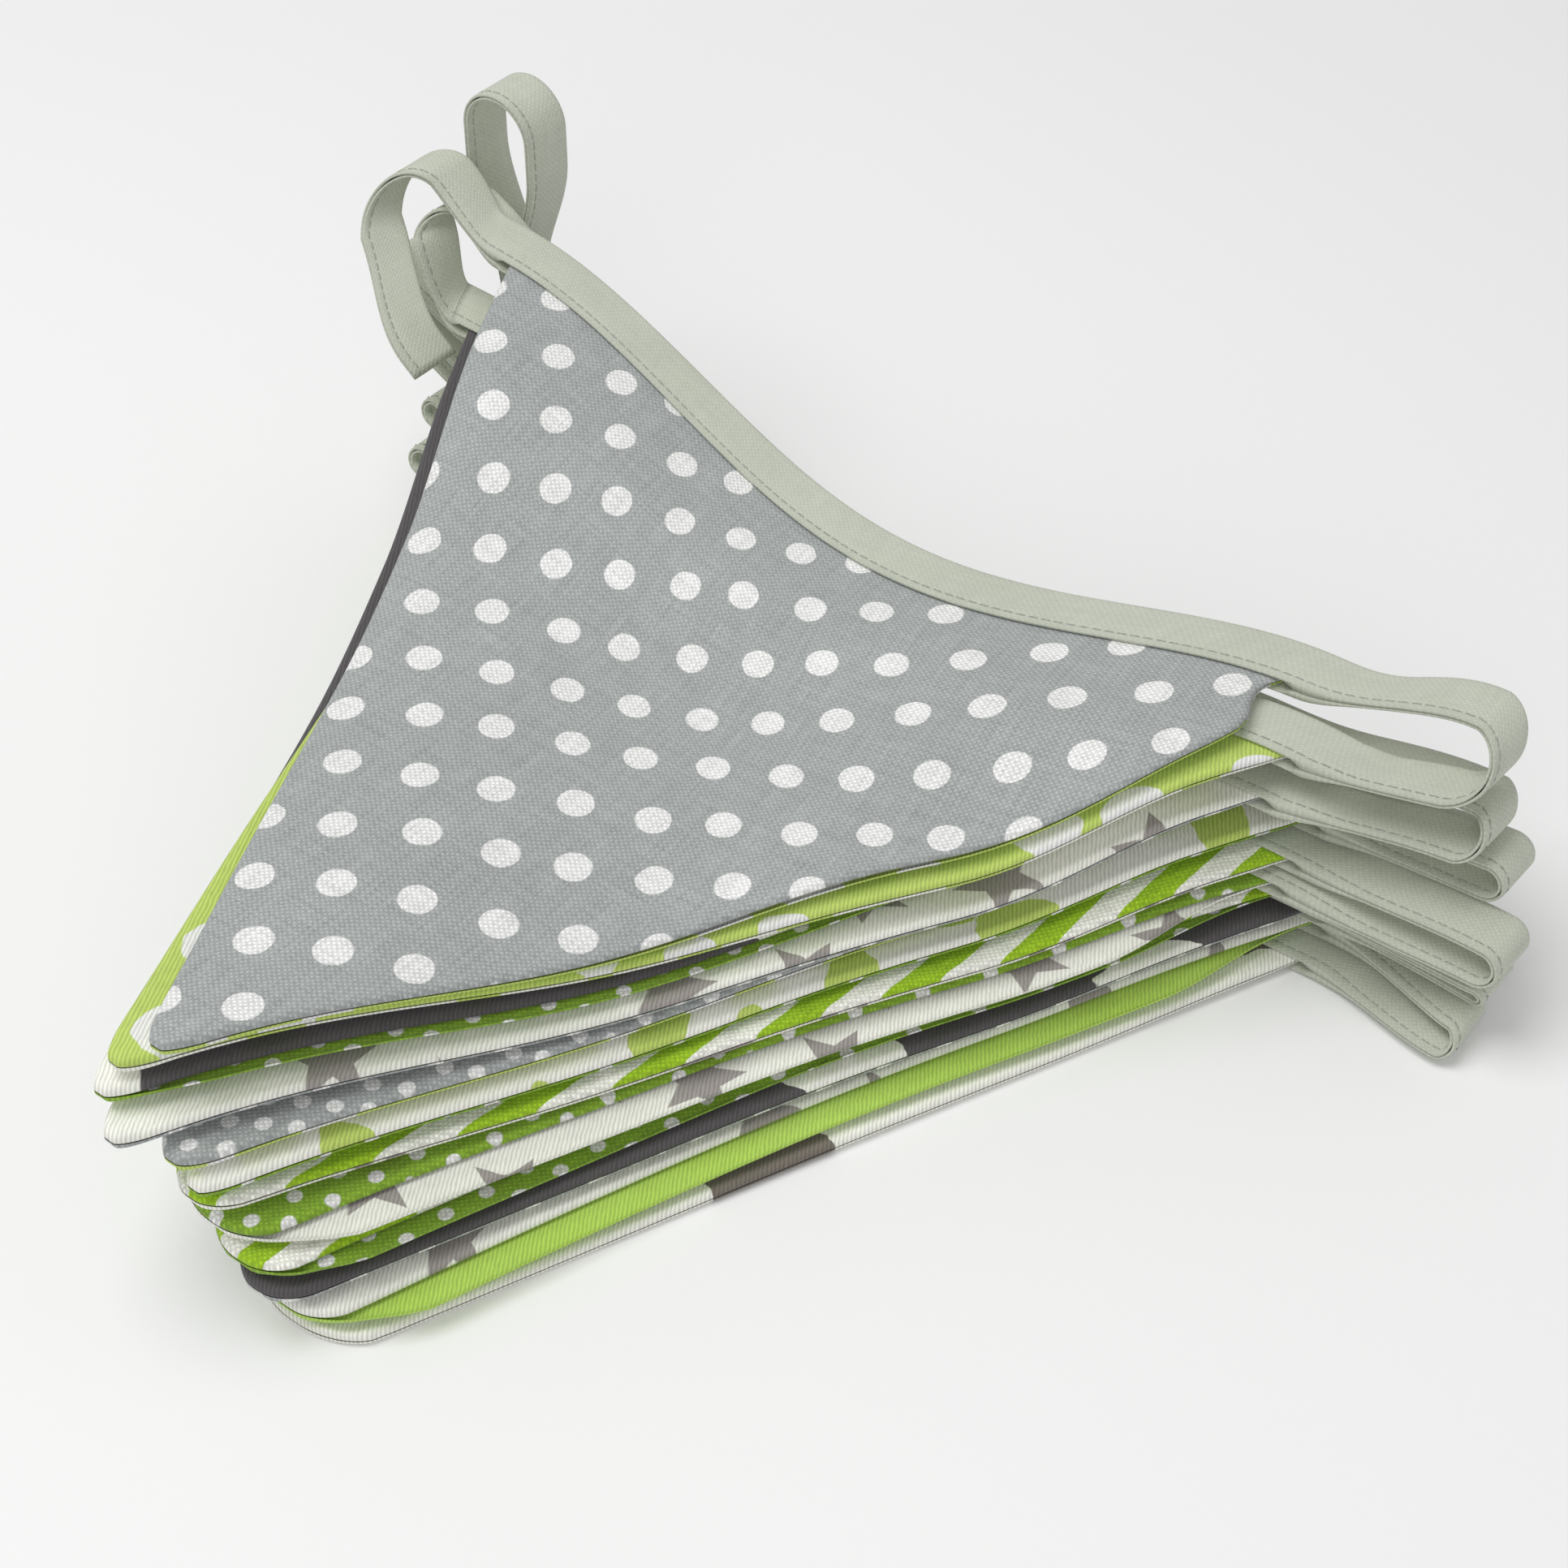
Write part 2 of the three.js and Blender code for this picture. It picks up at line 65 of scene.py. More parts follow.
# Each pennant from the top down: its place in the stack, and its upper and lower cloth.
PENNANTS = [
    dict(slide=-1, back=13, turn=0.5, bow=-0.8, blunt=0, cloth="grey_dots", lining="lime_spots"),
    dict(slide=10, back=8.5, turn=-4.5, bow=-4.5, blunt=0, cloth="lime_spots", lining="white_leaves"),
    dict(slide=-8, back=6, turn=0.4, bow=3.2, blunt=0, cloth="charcoal", lining="green_dots",
         print="charcoal_white_point"),
    dict(slide=7, back=2.5, turn=-2.5, bow=-4.3, blunt=0, cloth="white_stars", lining="grey_fine_dots"),
    dict(slide=3.5, back=6.5, turn=0.5, bow=-4.6, blunt=2, cloth="grey_fine_dots", lining="lime_spots"),
    dict(slide=12.5, back=9, turn=-1, bow=-6.9, blunt=0, cloth="white_leaves", lining="green_dots"),
    dict(slide=13, back=4, turn=-2, bow=-5.3, blunt=6, cloth="lime_stripes", lining="white_stars"),
    dict(slide=12, back=-0.5, turn=-1, bow=-9, blunt=12, cloth="green_dots", lining="white_stars"),
    dict(slide=13, back=1, turn=0.5, bow=-9.5, blunt=10, cloth="lime_stripes", lining="green_dots"),
    dict(slide=16.5, back=4, turn=0.5, bow=-5, blunt=7, cloth="charcoal", lining="grey_fine_dots"),
    dict(slide=16.5, back=4, turn=1.5, bow=-6.5, blunt=10, cloth="white_stars", lining="plain_lime"),
    dict(slide=17, back=-2, turn=1.5, bow=-1, blunt=17, cloth="white_taupe", lining="white_taupe"),
]
TOP_LEVEL = len(PENNANTS) - 1

# Lower cloths that stand out past the front edge of their upper cloth, by pennant.
PEEKS = {3: 2.0, 8: 6.5, 9: 4.0, 11: 6.2}
PEEK_FULL_FROM, PEEK_FULL_TO = 45.0, 185.0
# The front edge of the top pennant swells out just below its tape.
SWELL = dict(out=9.5, full=26, down=40, reach=36)

# Bights of tape between neighbours, and the two free ends.
RIGHT_BIGHTS = [
    dict(reach=36, tip=51.5, radius=5.6, tilt=-2, sway=8),
    dict(reach=45, tip=38.8, radius=3.2, tilt=-2, sway=10),
    dict(reach=38.5, tip=29.6, radius=3.4, tilt=0, sway=6),
    dict(reach=35.5, tip=20.2, radius=3.2, tilt=-4, sway=4),
    dict(reach=33, tip=11.8, radius=2.2, tilt=-3, sway=0),
    dict(reach=28, tip=4.2, radius=2.0, tilt=0, sway=-7),
]
LEFT_BIGHTS = [
    dict(reach=26, tip=69.8, radius=2.4, tilt=34, sway=0),
    dict(reach=38, tip=54, radius=2.4, tilt=28, sway=3),
    dict(reach=42, tip=43, radius=2.4, tilt=26, sway=2),
    dict(reach=27, tip=28, radius=2.4, tilt=18, sway=4),
    dict(reach=34, tip=16, radius=2.4, tilt=10, sway=0),
]
ARCH = dict(reach=25.5, tip=73.5, radius=6, tilt=40, sway=8.5, end_reach=-3, end_height=53, end_near=25.5)
TAIL = dict(reach=30, tip=1.0)
LOOP = dict(x=-110.2, near=17.45, foot=46, shoulder=76, crown=84, half=8.4, foot_half=0.95)

# How finely the cloth is drawn: the steps in from an edge, which shrink where half the cloth is less
# than EDGE_SHARE of them, the columns between, and the rows.
EDGE_STEPS = np.array([0, 0.12, 0.4, 0.9, 1.6, 2.6, 4.0, 6.0])
EDGE_SHARE = 1.6
INNER_COLUMNS = 38
TAPE_ROWS = [2.0, 5.0, 9.0, 11.5, 12.4, 13.2, 14.4, 16, 18, 20]
BODY_ROWS = np.arange(23, 195, 3.2)
POINT_ROWS = PENNANT_DROP - POINT_ROUND * (1 - np.sin(np.radians(np.arange(10, 91, 10))))

# The relief of the thin sheet, in millimetres: waves and puckers, then edges, then points.
TAPE_MOUTH, CLEAR_OF_TAPE = 12.4, 18
RIPPLES = [
    dict(rise=0.16, along=17, down=41, shift=1.0),
    dict(rise=0.14, along=-37, down=23, shift=2.3),
]
RIPPLES_FROM, RIPPLES_FULL, RIPPLE_SHIFT = 14, 60, 1.7
PUCKERS = dict(rise=0.10, length=2.1, waver=1.3, waver_length=9, down=15, reach=7)
TOP_SWELLS = [
    dict(along=52, down=52, wide=9, tall=26, turn=35, rise=1.1),
    dict(along=30, down=66, wide=8, tall=22, turn=40, rise=0.8),
    dict(along=-8, down=40, wide=10, tall=20, turn=15, rise=0.9),
    dict(along=8, down=104, wide=12, tall=30, turn=25, rise=0.7),
    dict(along=-38, down=30, wide=9, tall=18, turn=-20, rise=0.6),
    dict(along=-62, down=62, wide=6.5, tall=62, turn=-25.7, rise=1.4),
    dict(along=18, down=74, wide=40, tall=46, turn=10, rise=1.6),
]
TOP_SWELLS_FROM, TOP_SWELLS_FULL = 14, 30
EDGE_ROLL, EDGE_RIM = 1.8, 0.18
EDGE_RIDGE = dict(rise=0.1, inset=1.0, reach=0.7)
EDGE_TROUGH = dict(depth=0.1, inset=2.8, reach=0.9)
ALLOWANCE, ALLOWANCE_FULL, ALLOWANCE_NONE = 0.14, 5.5, 8.5
POINT_SWELL, POINT_SWELL_REACH, POINT_GATHER = 0.5, 11.0, 0.2
GATHERS = dict(along=1.25, down=0.45, slow=0.38, shift=1.9)

# The tape's section, from its open edge to its fold, and its stitches.
SECTION_DOWN = np.array([12.0, 11.9, 11.6, 11.1, 10.7, 10.3, 9.9, 9.1, 6.0, 3.0, 1.4, 0.7, 0.25])
FOLD_ROUND = 0.9
LIP_FROM, LIP_DROP = 11.0, 0.22
GROOVE_DEPTH, GROOVE_REACH = 0.13, 0.5
STITCH_DOWN, STITCH_LENGTH, STITCH_PITCH, STITCH_HALF = 10.3, 1.95, 2.45, 0.2
STITCH_SIDES, STITCH_FLATNESS, STITCH_AHEAD = 6, 0.8, 0.9
STITCH_SHAPE = [(-0.5, 0.35), (-0.34, 1.0), (0.34, 1.0), (0.5, 0.35)]
UPPER_STITCH = int(np.argmin(np.abs(SECTION_DOWN - STITCH_DOWN)))
LOWER_STITCH = 2 * len(SECTION_DOWN) - UPPER_STITCH

# Progress round a bight: RUN along either limb, TURN round its tip. From a corner, the tape closes
# within CLOSING of it, and takes up its own line within JOIN.
RUN, TURN = 4, 6
LAST = 2 * RUN + TURN - 2
CLOSING, JOIN = 1.6, 3.4
PENNANT_STEPS, RUN_STEPS, TURN_STEPS, TAIL_STEPS = 64, 20, 28, 16
LOOP_LIMB_STEPS, LOOP_CROWN_STEPS = 16, 28


def soft(low, high, value):
    t = np.clip((value - low) / (high - low), 0, 1)
    return t * t * (3 - 2 * t)


def mix(a, b, t):
    return a + (b - a) * t


def layer_height(x, y, level):
    """The height of one layer of the stack; level 0 is the lowest pennant."""
    share = level / TOP_LEVEL
    band = soft(BAND_FAR, BAND_NEAR, y)
    z = mix(BASE_IN_CLOTH, BASE_AT_TAPE, band)
    z = z + level * mix(PITCH_IN_CLOTH, PITCH_AT_TAPE, band)
    for r in RISES:
        d2 = ((x - r["x"]) ** 2 + (y - r["y"]) ** 2) / r["reach"] ** 2
        z = z + r["rise"] * np.exp(-d2) * share ** r["power"]
    side = math.atan2(PENNANT_DROP, PENNANT_WIDTH / 2)
    off = (x - LEFT_RIDGE["x"]) * math.sin(side) + (y - LEFT_RIDGE["y"]) * math.cos(side)
    away = np.maximum(off, 0) / LEFT_RIDGE["reach"]
    z = z + LEFT_RIDGE["rise"] * np.exp(-away * away) * share
    for w in WAVES:
        a = math.radians(w["along"])
        phase = (x * math.cos(a) + y * math.sin(a)) * 2 * math.pi / w["length"] + w["shift"]
        z = z + w["rise"] * (1 + np.sin(phase)) * share * (1 - band)
    return z


def plan_of(index, along, down):
    """Where a point of a pennant lies in plan, with the slack of its tape edge."""
    row = PENNANTS[index]
    a = math.radians(row["turn"])
    share = np.clip(along / PENNANT_WIDTH + 0.5, 0, 1)
    middle = np.sin(np.pi * share ** SAG["skew"]) ** 2
    sag = mix(SAG["top"], SAG["bottom"], index / TOP_LEVEL)
    drop = down + sag * middle * (1 - soft(0, SAG["fade"], down))
    x = row["slide"] + along * math.cos(a) + drop * math.sin(a)
    y = row["back"] + along * math.sin(a) - drop * math.cos(a)
    return x, y


def half_width(down):
    """Half the width of a pennant, at a distance down from its tape edge."""
    share = 1 - down / PENNANT_DROP
    return POINT_HALF_WIDTH + (PENNANT_WIDTH / 2 - POINT_HALF_WIDTH) * share


def on_pennant(index, along, down, rise):
    """A point of a pennant in space, some way above the middle of its layer."""
    x, y = plan_of(index, along, down)
    return np.stack([x, y, layer_height(x, y, TOP_LEVEL - index) + rise], axis=-1)


# Meshes

def make_piece(name, points, faces, cloth, material):
    """A piece on the part's one body, with the place of each of its points on the flat cloth."""
    mesh = bpy.data.meshes.new(name)
    placed = (points - np.array([MIDDLE[0], MIDDLE[1], 0])) * MM
    mesh.from_pydata(placed.tolist(), [], faces)
    mesh.polygons.foreach_set("use_smooth", [True] * len(mesh.polygons))
    place = mesh.attributes.new("cloth", "FLOAT_VECTOR", "POINT")
    place.data.foreach_set("vector", cloth.astype(np.float32).ravel())
    mesh.update()
    piece = bpy.data.objects.new(name, mesh)
    bpy.context.scene.collection.objects.link(piece)
    mesh.materials.append(material)
    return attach(piece, "root")


def grid_shell_faces(tall, wide):
    """Faces of a closed sheet: an outer grid, an inner grid after it, and the rim between them."""
    under = tall * wide
    faces = []
    for r in range(tall - 1):
        for c in range(wide - 1):
            a = r * wide + c
            b = a + wide
            faces.append((a, b, b + 1, a + 1))
            faces.append((a + under, a + 1 + under, b + 1 + under, b + under))
    ring = [r * wide for r in range(tall)]
    ring += [(tall - 1) * wide + c for c in range(1, wide)]
    ring += [r * wide + wide - 1 for r in range(tall - 2, -1, -1)]
    ring += list(range(wide - 2, 0, -1))
    for i, a in enumerate(ring):
        b = ring[(i + 1) % len(ring)]
        faces.append((a, a + under, b + under, b))
    return faces


def ripple(index, along, down):
    """Small waves of one pennant's cloth, none in the tape, and puckers just below it."""
    shift = index * RIPPLE_SHIFT
    long_wave = 0
    for r in RIPPLES:
        phase = along / r["along"] + down / r["down"] + r["shift"] * shift
        long_wave = long_wave + r["rise"] * np.sin(phase)
    waver = PUCKERS["waver"] * np.sin(along / PUCKERS["waver_length"] + shift)
    below = np.exp(-((down - PUCKERS["down"]) / PUCKERS["reach"]) ** 2)
    pucker = PUCKERS["rise"] * np.sin(along / PUCKERS["length"] + waver) * below
    free = soft(RIPPLES_FROM, RIPPLES_FULL, down)
    return free * long_wave + pucker * soft(TAPE_MOUTH, PUCKERS["down"], down)


def top_waves(along, down):
    """The softer swells that the top cloth alone is free to take."""
    lift = np.zeros_like(along)
    for s in TOP_SWELLS:
        a = math.radians(s["turn"])
        aside, below = along - s["along"], down - s["down"]
        p = (aside * math.cos(a) + below * math.sin(a)) / s["wide"]
        q = (below * math.cos(a) - aside * math.sin(a)) / s["tall"]
        lift = lift + s["rise"] * np.exp(-p * p - q * q)
    return lift * soft(TOP_SWELLS_FROM, TOP_SWELLS_FULL, down)


def stands_out(index, face, down):
    """How far the front edge of a cloth stands out past the side of its triangle."""
    if index == 0:
        away = (down - SWELL["down"]) / SWELL["reach"]
        return SWELL["out"] * soft(BELOW_TAPE, SWELL["full"], down) * math.exp(-away * away)
    out = PEEKS.get(index + 1, 0) if face < 0 else 0
    return out * soft(BELOW_TAPE, PEEK_FULL_FROM, down) * (1 - soft(PEEK_FULL_TO, PENNANT_DROP, down))


def rounded(share):
    """A quarter circle that rises from 0 to 1."""
    return np.sqrt(np.clip(1 - (1 - np.clip(share, 0, 1)) ** 2, 0, 1))


def edge_relief(inset):
    """The turned edge: a low ridge over the allowance sewn inside it, and a soft trough beside it."""
    ridge = EDGE_RIDGE["rise"] * np.exp(-((inset - EDGE_RIDGE["inset"]) / EDGE_RIDGE["reach"]) ** 2)
    trough = EDGE_TROUGH["depth"] * np.exp(-((inset - EDGE_TROUGH["inset"]) / EDGE_TROUGH["reach"]) ** 2)
    return ridge - trough


def bunched_point(index, along, down):
    """Seam allowances bunched up inside a point, with small gathers that run into it."""
    near = np.exp(-((PENNANT_DROP - down) / POINT_SWELL_REACH) ** 2)
    fine = np.sin(GATHERS["along"] * along + GATHERS["down"] * down + GATHERS["shift"] * index)
    gathers = fine * np.sin(GATHERS["slow"] * down + index)
    return near * (POINT_SWELL + POINT_GATHER * gathers)


def flat_cloth(index, face):
    """Rows of points on a flat cloth: their places along and down it, and inset from its edge."""
    row = PENNANTS[index]
    inner = np.linspace(-1, 1, INNER_COLUMNS + 1)[1:-1]
    point_half = half_width(PENNANT_DROP - row["blunt"])
    along, down, inset = [], [], []
    for d in np.concatenate([TAPE_ROWS, BODY_ROWS, POINT_ROWS]):
        short = d - row["blunt"] * soft(TAPE_WIDTH, PENNANT_DROP, d)
        nearing = np.clip((d - PENNANT_DROP + POINT_ROUND) / POINT_ROUND, 0, 1)
        narrow = (point_half - POINT_END) * (1 - math.sqrt(1 - nearing ** 2))
        half = half_width(short) - narrow
        steps = EDGE_STEPS * min(1, half / (EDGE_SHARE * EDGE_STEPS[-1]))
        across = np.concatenate([-half + steps, inner * (half - steps[-1]), (half - steps)[::-1]])
        belly = row["bow"] * math.sin(math.pi * d / PENNANT_DROP)
        front = stands_out(index, face, d)
        along.append(across + belly * np.abs(across) / half + front * np.maximum(across, 0) / half)
        down.append(np.full(len(across), short))
        inset.append(np.minimum(half - np.abs(across), PENNANT_DROP - d))
    return np.array(along), np.array(down), np.array(inset)


def panel(index, face, material):
    """One cloth of a pennant: the upper one if face is 1, the lower one if it is -1."""
    row = PENNANTS[index]
    on_floor = index == TOP_LEVEL and face < 0
    along, down, inset = flat_cloth(index, face)
    in_tape = 1 - soft(TAPE_MOUTH, CLEAR_OF_TAPE, down)
    thick = mix(CLOTH, CLOTH_IN_TAPE, in_tape)
    roll = rounded(inset / EDGE_ROLL)
    allowance = ALLOWANCE * (1 - soft(ALLOWANCE_FULL, ALLOWANCE_NONE, inset)) * (1 - in_tape)
    outer = LAYER_GAP / 2 + EDGE_RIM + (thick - EDGE_RIM) * roll - ALLOWANCE * (1 - in_tape) + allowance
    outer = outer + edge_relief(inset) * (1 - in_tape)
    if not on_floor:
        outer = outer + bunched_point(index, along, down + row["blunt"]) * roll
    under = np.maximum(outer - SHEET, LAYER_GAP / 2)
    if index == 0 and face > 0:
        lift = top_waves(along, down)
        outer = outer + lift
        under = under + lift
    wave = ripple(index, along, down)
    outside = on_pennant(index, along, down, face * outer + wave).reshape(-1, 3)
    inside = on_pennant(index, along, down, face * under + wave).reshape(-1, 3)
    faces = grid_shell_faces(*along.shape)
    if face < 0:
        faces = [f[::-1] for f in faces]
    name = "pennant_%02d_%s" % (index + 1, "upper" if face > 0 else "lower")
    place = np.stack([along, down, inset], axis=-1).reshape(-1, 3)
    piece = make_piece("cloth_" + name, np.concatenate([outside, inside]), faces,
                       np.concatenate([place, place]), material)
    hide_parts(name)


# The tape: a folded strip whose section is swept along the pennants and round the bights.

def section(half, slit):
    """The ring of one section from its upper open edge, over the fold, to the lower one and back inside."""
    d = SECTION_DOWN
    groove = GROOVE_DEPTH * np.exp(-((d - STITCH_DOWN) / GROOVE_REACH) ** 2)
    lip = LIP_DROP * np.clip((d - LIP_FROM) / (TAPE_WIDTH - LIP_FROM), 0, 1) ** 2
    rise = half * rounded(d / FOLD_ROUND) - groove - lip
    inner_down = np.array([TAPE_WIDTH, 10.5, 6.0, 2.5, SLOT_END])
    inner_rise = np.full(len(inner_down), slit)
    down = np.concatenate([d, [0], d[::-1], inner_down, inner_down[::-1]])
    high = np.concatenate([rise, [0], -rise[::-1], -inner_rise, inner_rise[::-1]])
    return down, high


def pennant_ring(index, flip, column, past, half, slit):
    """A section on a pennant, at a column from -1 to 1 of its width, or some way past its corner."""
    down, high = section(half, slit)
    along = column * half_width(down) + past * np.sign(column)
    return on_pennant(index, along, down, flip * high)


def end_ring(index, flip, column):
    """The last section on a pennant at one of its corners, already closed."""
    return pennant_ring(index, flip, column, TAPE_CLOSING, TAPE_HALF, CLOSED_SLIT)


def along_pennant(index, flip):
    slit = TAPE_HALF - TAPE_WALL
    rings = [end_ring(index, flip, -1), pennant_ring(index, flip, -1, TAPE_OVERHANG, TAPE_HALF, slit)]
    for column in np.linspace(-1, 1, PENNANT_STEPS + 1):
        rings.append(pennant_ring(index, flip, column, 0, TAPE_HALF, slit))
    rings += [pennant_ring(index, flip, 1, TAPE_OVERHANG, TAPE_HALF, slit), end_ring(index, flip, 1)]
    return rings if flip > 0 else rings[::-1]


def corner(index, side):
    """Where the tape leaves a pennant: its place, its slope, and its headings outward and across."""
    edge = side * (half_width(TAPE_WIDTH / 2) + TAPE_CLOSING)
    at = on_pennant(index, edge, TAPE_WIDTH / 2, 0)
    ahead = on_pennant(index, edge + side, TAPE_WIDTH / 2, 0)
    a = math.radians(PENNANTS[index]["turn"])
    return dict(
        plan=at[:2], height=at[2], slope=ahead[2] - at[2],
        out=side * np.array([math.cos(a), math.sin(a)]),
        across=np.array([-math.sin(a), math.cos(a)]),
    )


def hermite(p0, m0, p1, m1, t):
    return ((2 * t**3 - 3 * t**2 + 1) * p0 + (t**3 - 2 * t**2 + t) * m0
            + (3 * t**2 - 2 * t**3) * p1 + (t**3 - t**2) * m1)


def bight_line(start, end, bight):
    """Stations of a bight: outward distance, height, and progress from one corner to the other."""
    tilt = math.radians(bight["tilt"])
    rise, radius = math.tan(tilt), bight["radius"]
    centre = bight["reach"] - radius
    first = (centre - radius * math.sin(tilt), bight["tip"] + radius * math.cos(tilt))
    last = (centre + radius * math.sin(tilt), bight["tip"] - radius * math.cos(tilt))

    def run(corner_end, other, t):
        span = other[0] - corner_end["out"]
        height = hermite(corner_end["height"], corner_end["slope"] * span, other[1], rise * span, t)
        return mix(corner_end["out"], other[0], t), height

    line = []
    for i in range(RUN_STEPS):
        t = i / RUN_STEPS
        line.append((*run(start, first, t), t * RUN - 1))
    for i in range(TURN_STEPS + 1):
        t = i / TURN_STEPS
        a = math.pi / 2 - math.pi * t + tilt
        line.append((centre + radius * math.cos(a), bight["tip"] + radius * math.sin(a),
                     RUN - 1 + t * TURN))
    for i in range(RUN_STEPS - 1, -1, -1):
        t = i / RUN_STEPS
        line.append((*run(end, last, t), RUN + TURN - 1 + (1 - t) * RUN))
    return line


def inward(end):
    """The station just inside a corner, on the slope of its layer."""
    return end["out"] - 1, end["height"] - end["slope"]


def closed_rings(line, start, end, sway, reach, flip, before, after, joins, last=LAST):
    """Rings of closed tape on a line of stations, and how near each is to the pennant that it joins."""

    def ring(i, half):
        out, height, progress = line[i]
        back = line[i - 1] if i > 0 else before
        ahead = line[i + 1] if i + 1 < len(line) else after
        run = np.array([ahead[0] - back[0], ahead[1] - back[1]])
        run = run / np.linalg.norm(run)
        blend = soft(0, last, progress)
        plan = mix(start["plan"] + start["out"] * out, end["plan"] + end["out"] * out, blend)
        heading = mix(start["out"], end["out"], blend)
        across = mix(start["across"], end["across"], blend)
        heading = heading / np.linalg.norm(heading)
        across = across / np.linalg.norm(across)
        plan = plan + across * sway * soft(0, reach, out)
        down, high = section(half, CLOSED_SLIT)
        side = (TAPE_WIDTH / 2 - down)[:, None]
        level = (flip * high)[:, None]
        flat = plan + across * side - heading * run[1] * level
        return np.concatenate([flat, height + run[0] * level], axis=1)

    rings = []
    for i, (out, height, progress) in enumerate(line):
        from_corner = progress + 1
        if joins == 2:
            from_corner = min(from_corner, last + 1 - progress)
        half = mix(TAPE_HALF, CLOSED_HALF, soft(0, CLOSING, from_corner))
        rings.append((ring(i, half), 1 - soft(0, JOIN, from_corner), progress))
    return rings


def eased(rings, first_ring, last_ring=None):
    """Moves the rings next to a pennant so that they run on from its own slanted end."""
    placed = []
    for points, near, progress in rings:
        shift = 0
        if progress < LAST / 2:
            shift = (first_ring - rings[0][0]) * near
        elif last_ring is not None:
            shift = (last_ring - rings[-1][0]) * near
        placed.append(points + shift)
    return placed[1:] if last_ring is None else placed[1:-1]


def bight_rings(index, side, bight):
    """The bare tape from one pennant to the next, round one side of the stack."""
    start, end = corner(index, side), corner(index + 1, side)
    offset = float(np.dot(start["plan"] - end["plan"], start["out"]))
    first = dict(out=0.0, height=start["height"], slope=start["slope"])
    final = dict(out=-offset, height=end["height"], slope=end["slope"])
    line = bight_line(first, final, bight)
    shifted = dict(end, plan=end["plan"] + end["out"] * offset)
    rings = closed_rings(line, start, shifted, bight["sway"], bight["reach"], side,
                         inward(first), inward(final), 2)
    return eased(rings, end_ring(index, side, side), end_ring(index + 1, -side, side))


def arch_rings():
    """The upper free end: from the top pennant over an arch and down beside the stack."""
    start = corner(0, -1)
    first = dict(out=0.0, height=start["height"], slope=start["slope"])
    tip_slope = math.tan(math.radians(ARCH["tilt"]))
    final = dict(out=ARCH["end_reach"], height=ARCH["end_height"], slope=tip_slope)
    line = bight_line(first, final, ARCH)
    end = dict(start, plan=start["plan"] - start["across"] * ARCH["end_near"])
    rings = closed_rings(line, start, end, ARCH["sway"], ARCH["reach"], 1,
                         inward(first), inward(final), 1, LAST + 1)
    return eased(rings, end_ring(0, 1, -1))


def tail_rings():
    """The lower free end, which runs out from the bottom pennant onto the floor."""
    start = corner(TOP_LEVEL, -1)
    first = dict(out=0.0, height=start["height"], slope=start["slope"])
    line = []
    for i in range(TAIL_STEPS + 1):
        t = i / TAIL_STEPS
        height = mix(start["height"], TAIL["tip"], soft(0, 1, t))
        line.append((TAIL["reach"] * t, height, t * RUN - 1))
    rings = closed_rings(line, start, start, 0, TAIL["reach"], -1, inward(first),
                         (TAIL["reach"] + 1, TAIL["tip"]), 1)
    return eased(rings, end_ring(TOP_LEVEL, -1, -1))


def run_along(path):
    """The length of a path up to each of its points."""
    return np.concatenate([[0], np.cumsum(np.linalg.norm(np.diff(path, axis=0), axis=1))])


def skin(name, rings, material):
    """A closed piece through a row of rings, and its length along the upper stitches."""
    rings = np.array(rings)
    count, size = rings.shape[:2]
    faces = []
    for r in range(count - 1):
        for i in range(size):
            j = (i + 1) % size
            a, b = r * size, (r + 1) * size
            faces.append((a + i, b + i, b + j, a + j))
    faces.append(tuple(range(size)))
    faces.append(tuple((count - 1) * size + i for i in reversed(range(size))))
    run = run_along(rings[:, UPPER_STITCH])
    down = section(CLOSED_HALF, CLOSED_SLIT)[0]
    place = np.zeros((count, size, 3))
    place[:, :, 0] = run[:, None]
    place[:, :, 1] = down[None, :]
    # The third value is the distance from the tape's nearer edge, its fold or its open edge, and sets where
    # the painted edge shade falls.
    place[:, :, 2] = np.minimum(down, TAPE_WIDTH - down)[None, :]
    piece = make_piece(name, rings.reshape(-1, 3), faces, place.reshape(-1, 3), material)
    return piece, float(run[-1])


def stitches(name, rings, material):
    """One row of thread on each face of the tape, each stitch a short rounded bar."""
    rings = np.array(rings)
    points, faces = [], []
    for k in (UPPER_STITCH, LOWER_STITCH):
        path, beside = rings[:, k], rings[:, k + 1] - rings[:, k - 1]
        run = run_along(path)
        centres = np.arange(STITCH_PITCH, run[-1] - STITCH_PITCH, STITCH_PITCH)

        def at(distances, values):
            return np.stack([np.interp(distances, run, values[:, i]) for i in range(3)], axis=1)

        spot, wide = at(centres, path), at(centres, beside)
        tangent = at(centres + STITCH_AHEAD, path) - spot
        tangent /= np.linalg.norm(tangent, axis=1)[:, None]
        wide -= tangent * np.sum(tangent * wide, axis=1)[:, None]
        wide /= np.linalg.norm(wide, axis=1)[:, None]
        out = np.cross(wide, tangent)
        for n in range(len(centres)):
            start = len(points)
            for t, size in STITCH_SHAPE:
                for s in range(STITCH_SIDES):
                    a = 2 * math.pi * s / STITCH_SIDES
                    points.append(spot[n] + tangent[n] * t * STITCH_LENGTH
                                  + wide[n] * STITCH_HALF * size * math.cos(a)
                                  + out[n] * STITCH_HALF * size * STITCH_FLATNESS * math.sin(a))
            for r in range(len(STITCH_SHAPE) - 1):
                for s in range(STITCH_SIDES):
                    q = (s + 1) % STITCH_SIDES
                    a, b = start + r * STITCH_SIDES, start + (r + 1) * STITCH_SIDES
                    faces.append((a + s, a + q, b + q, b + s))
            end = len(points) - STITCH_SIDES
            faces.append(tuple(start + s for s in reversed(range(STITCH_SIDES))))
            faces.append(tuple(end + s for s in range(STITCH_SIDES)))
    points = np.array(points)
    # Each stitch's place on the cloth is its own position in millimetres, so the painted edge shade of its
    # material darkens the stitches that lie nearest the floor.
    piece = make_piece(name, points, faces, points, material)
    return piece


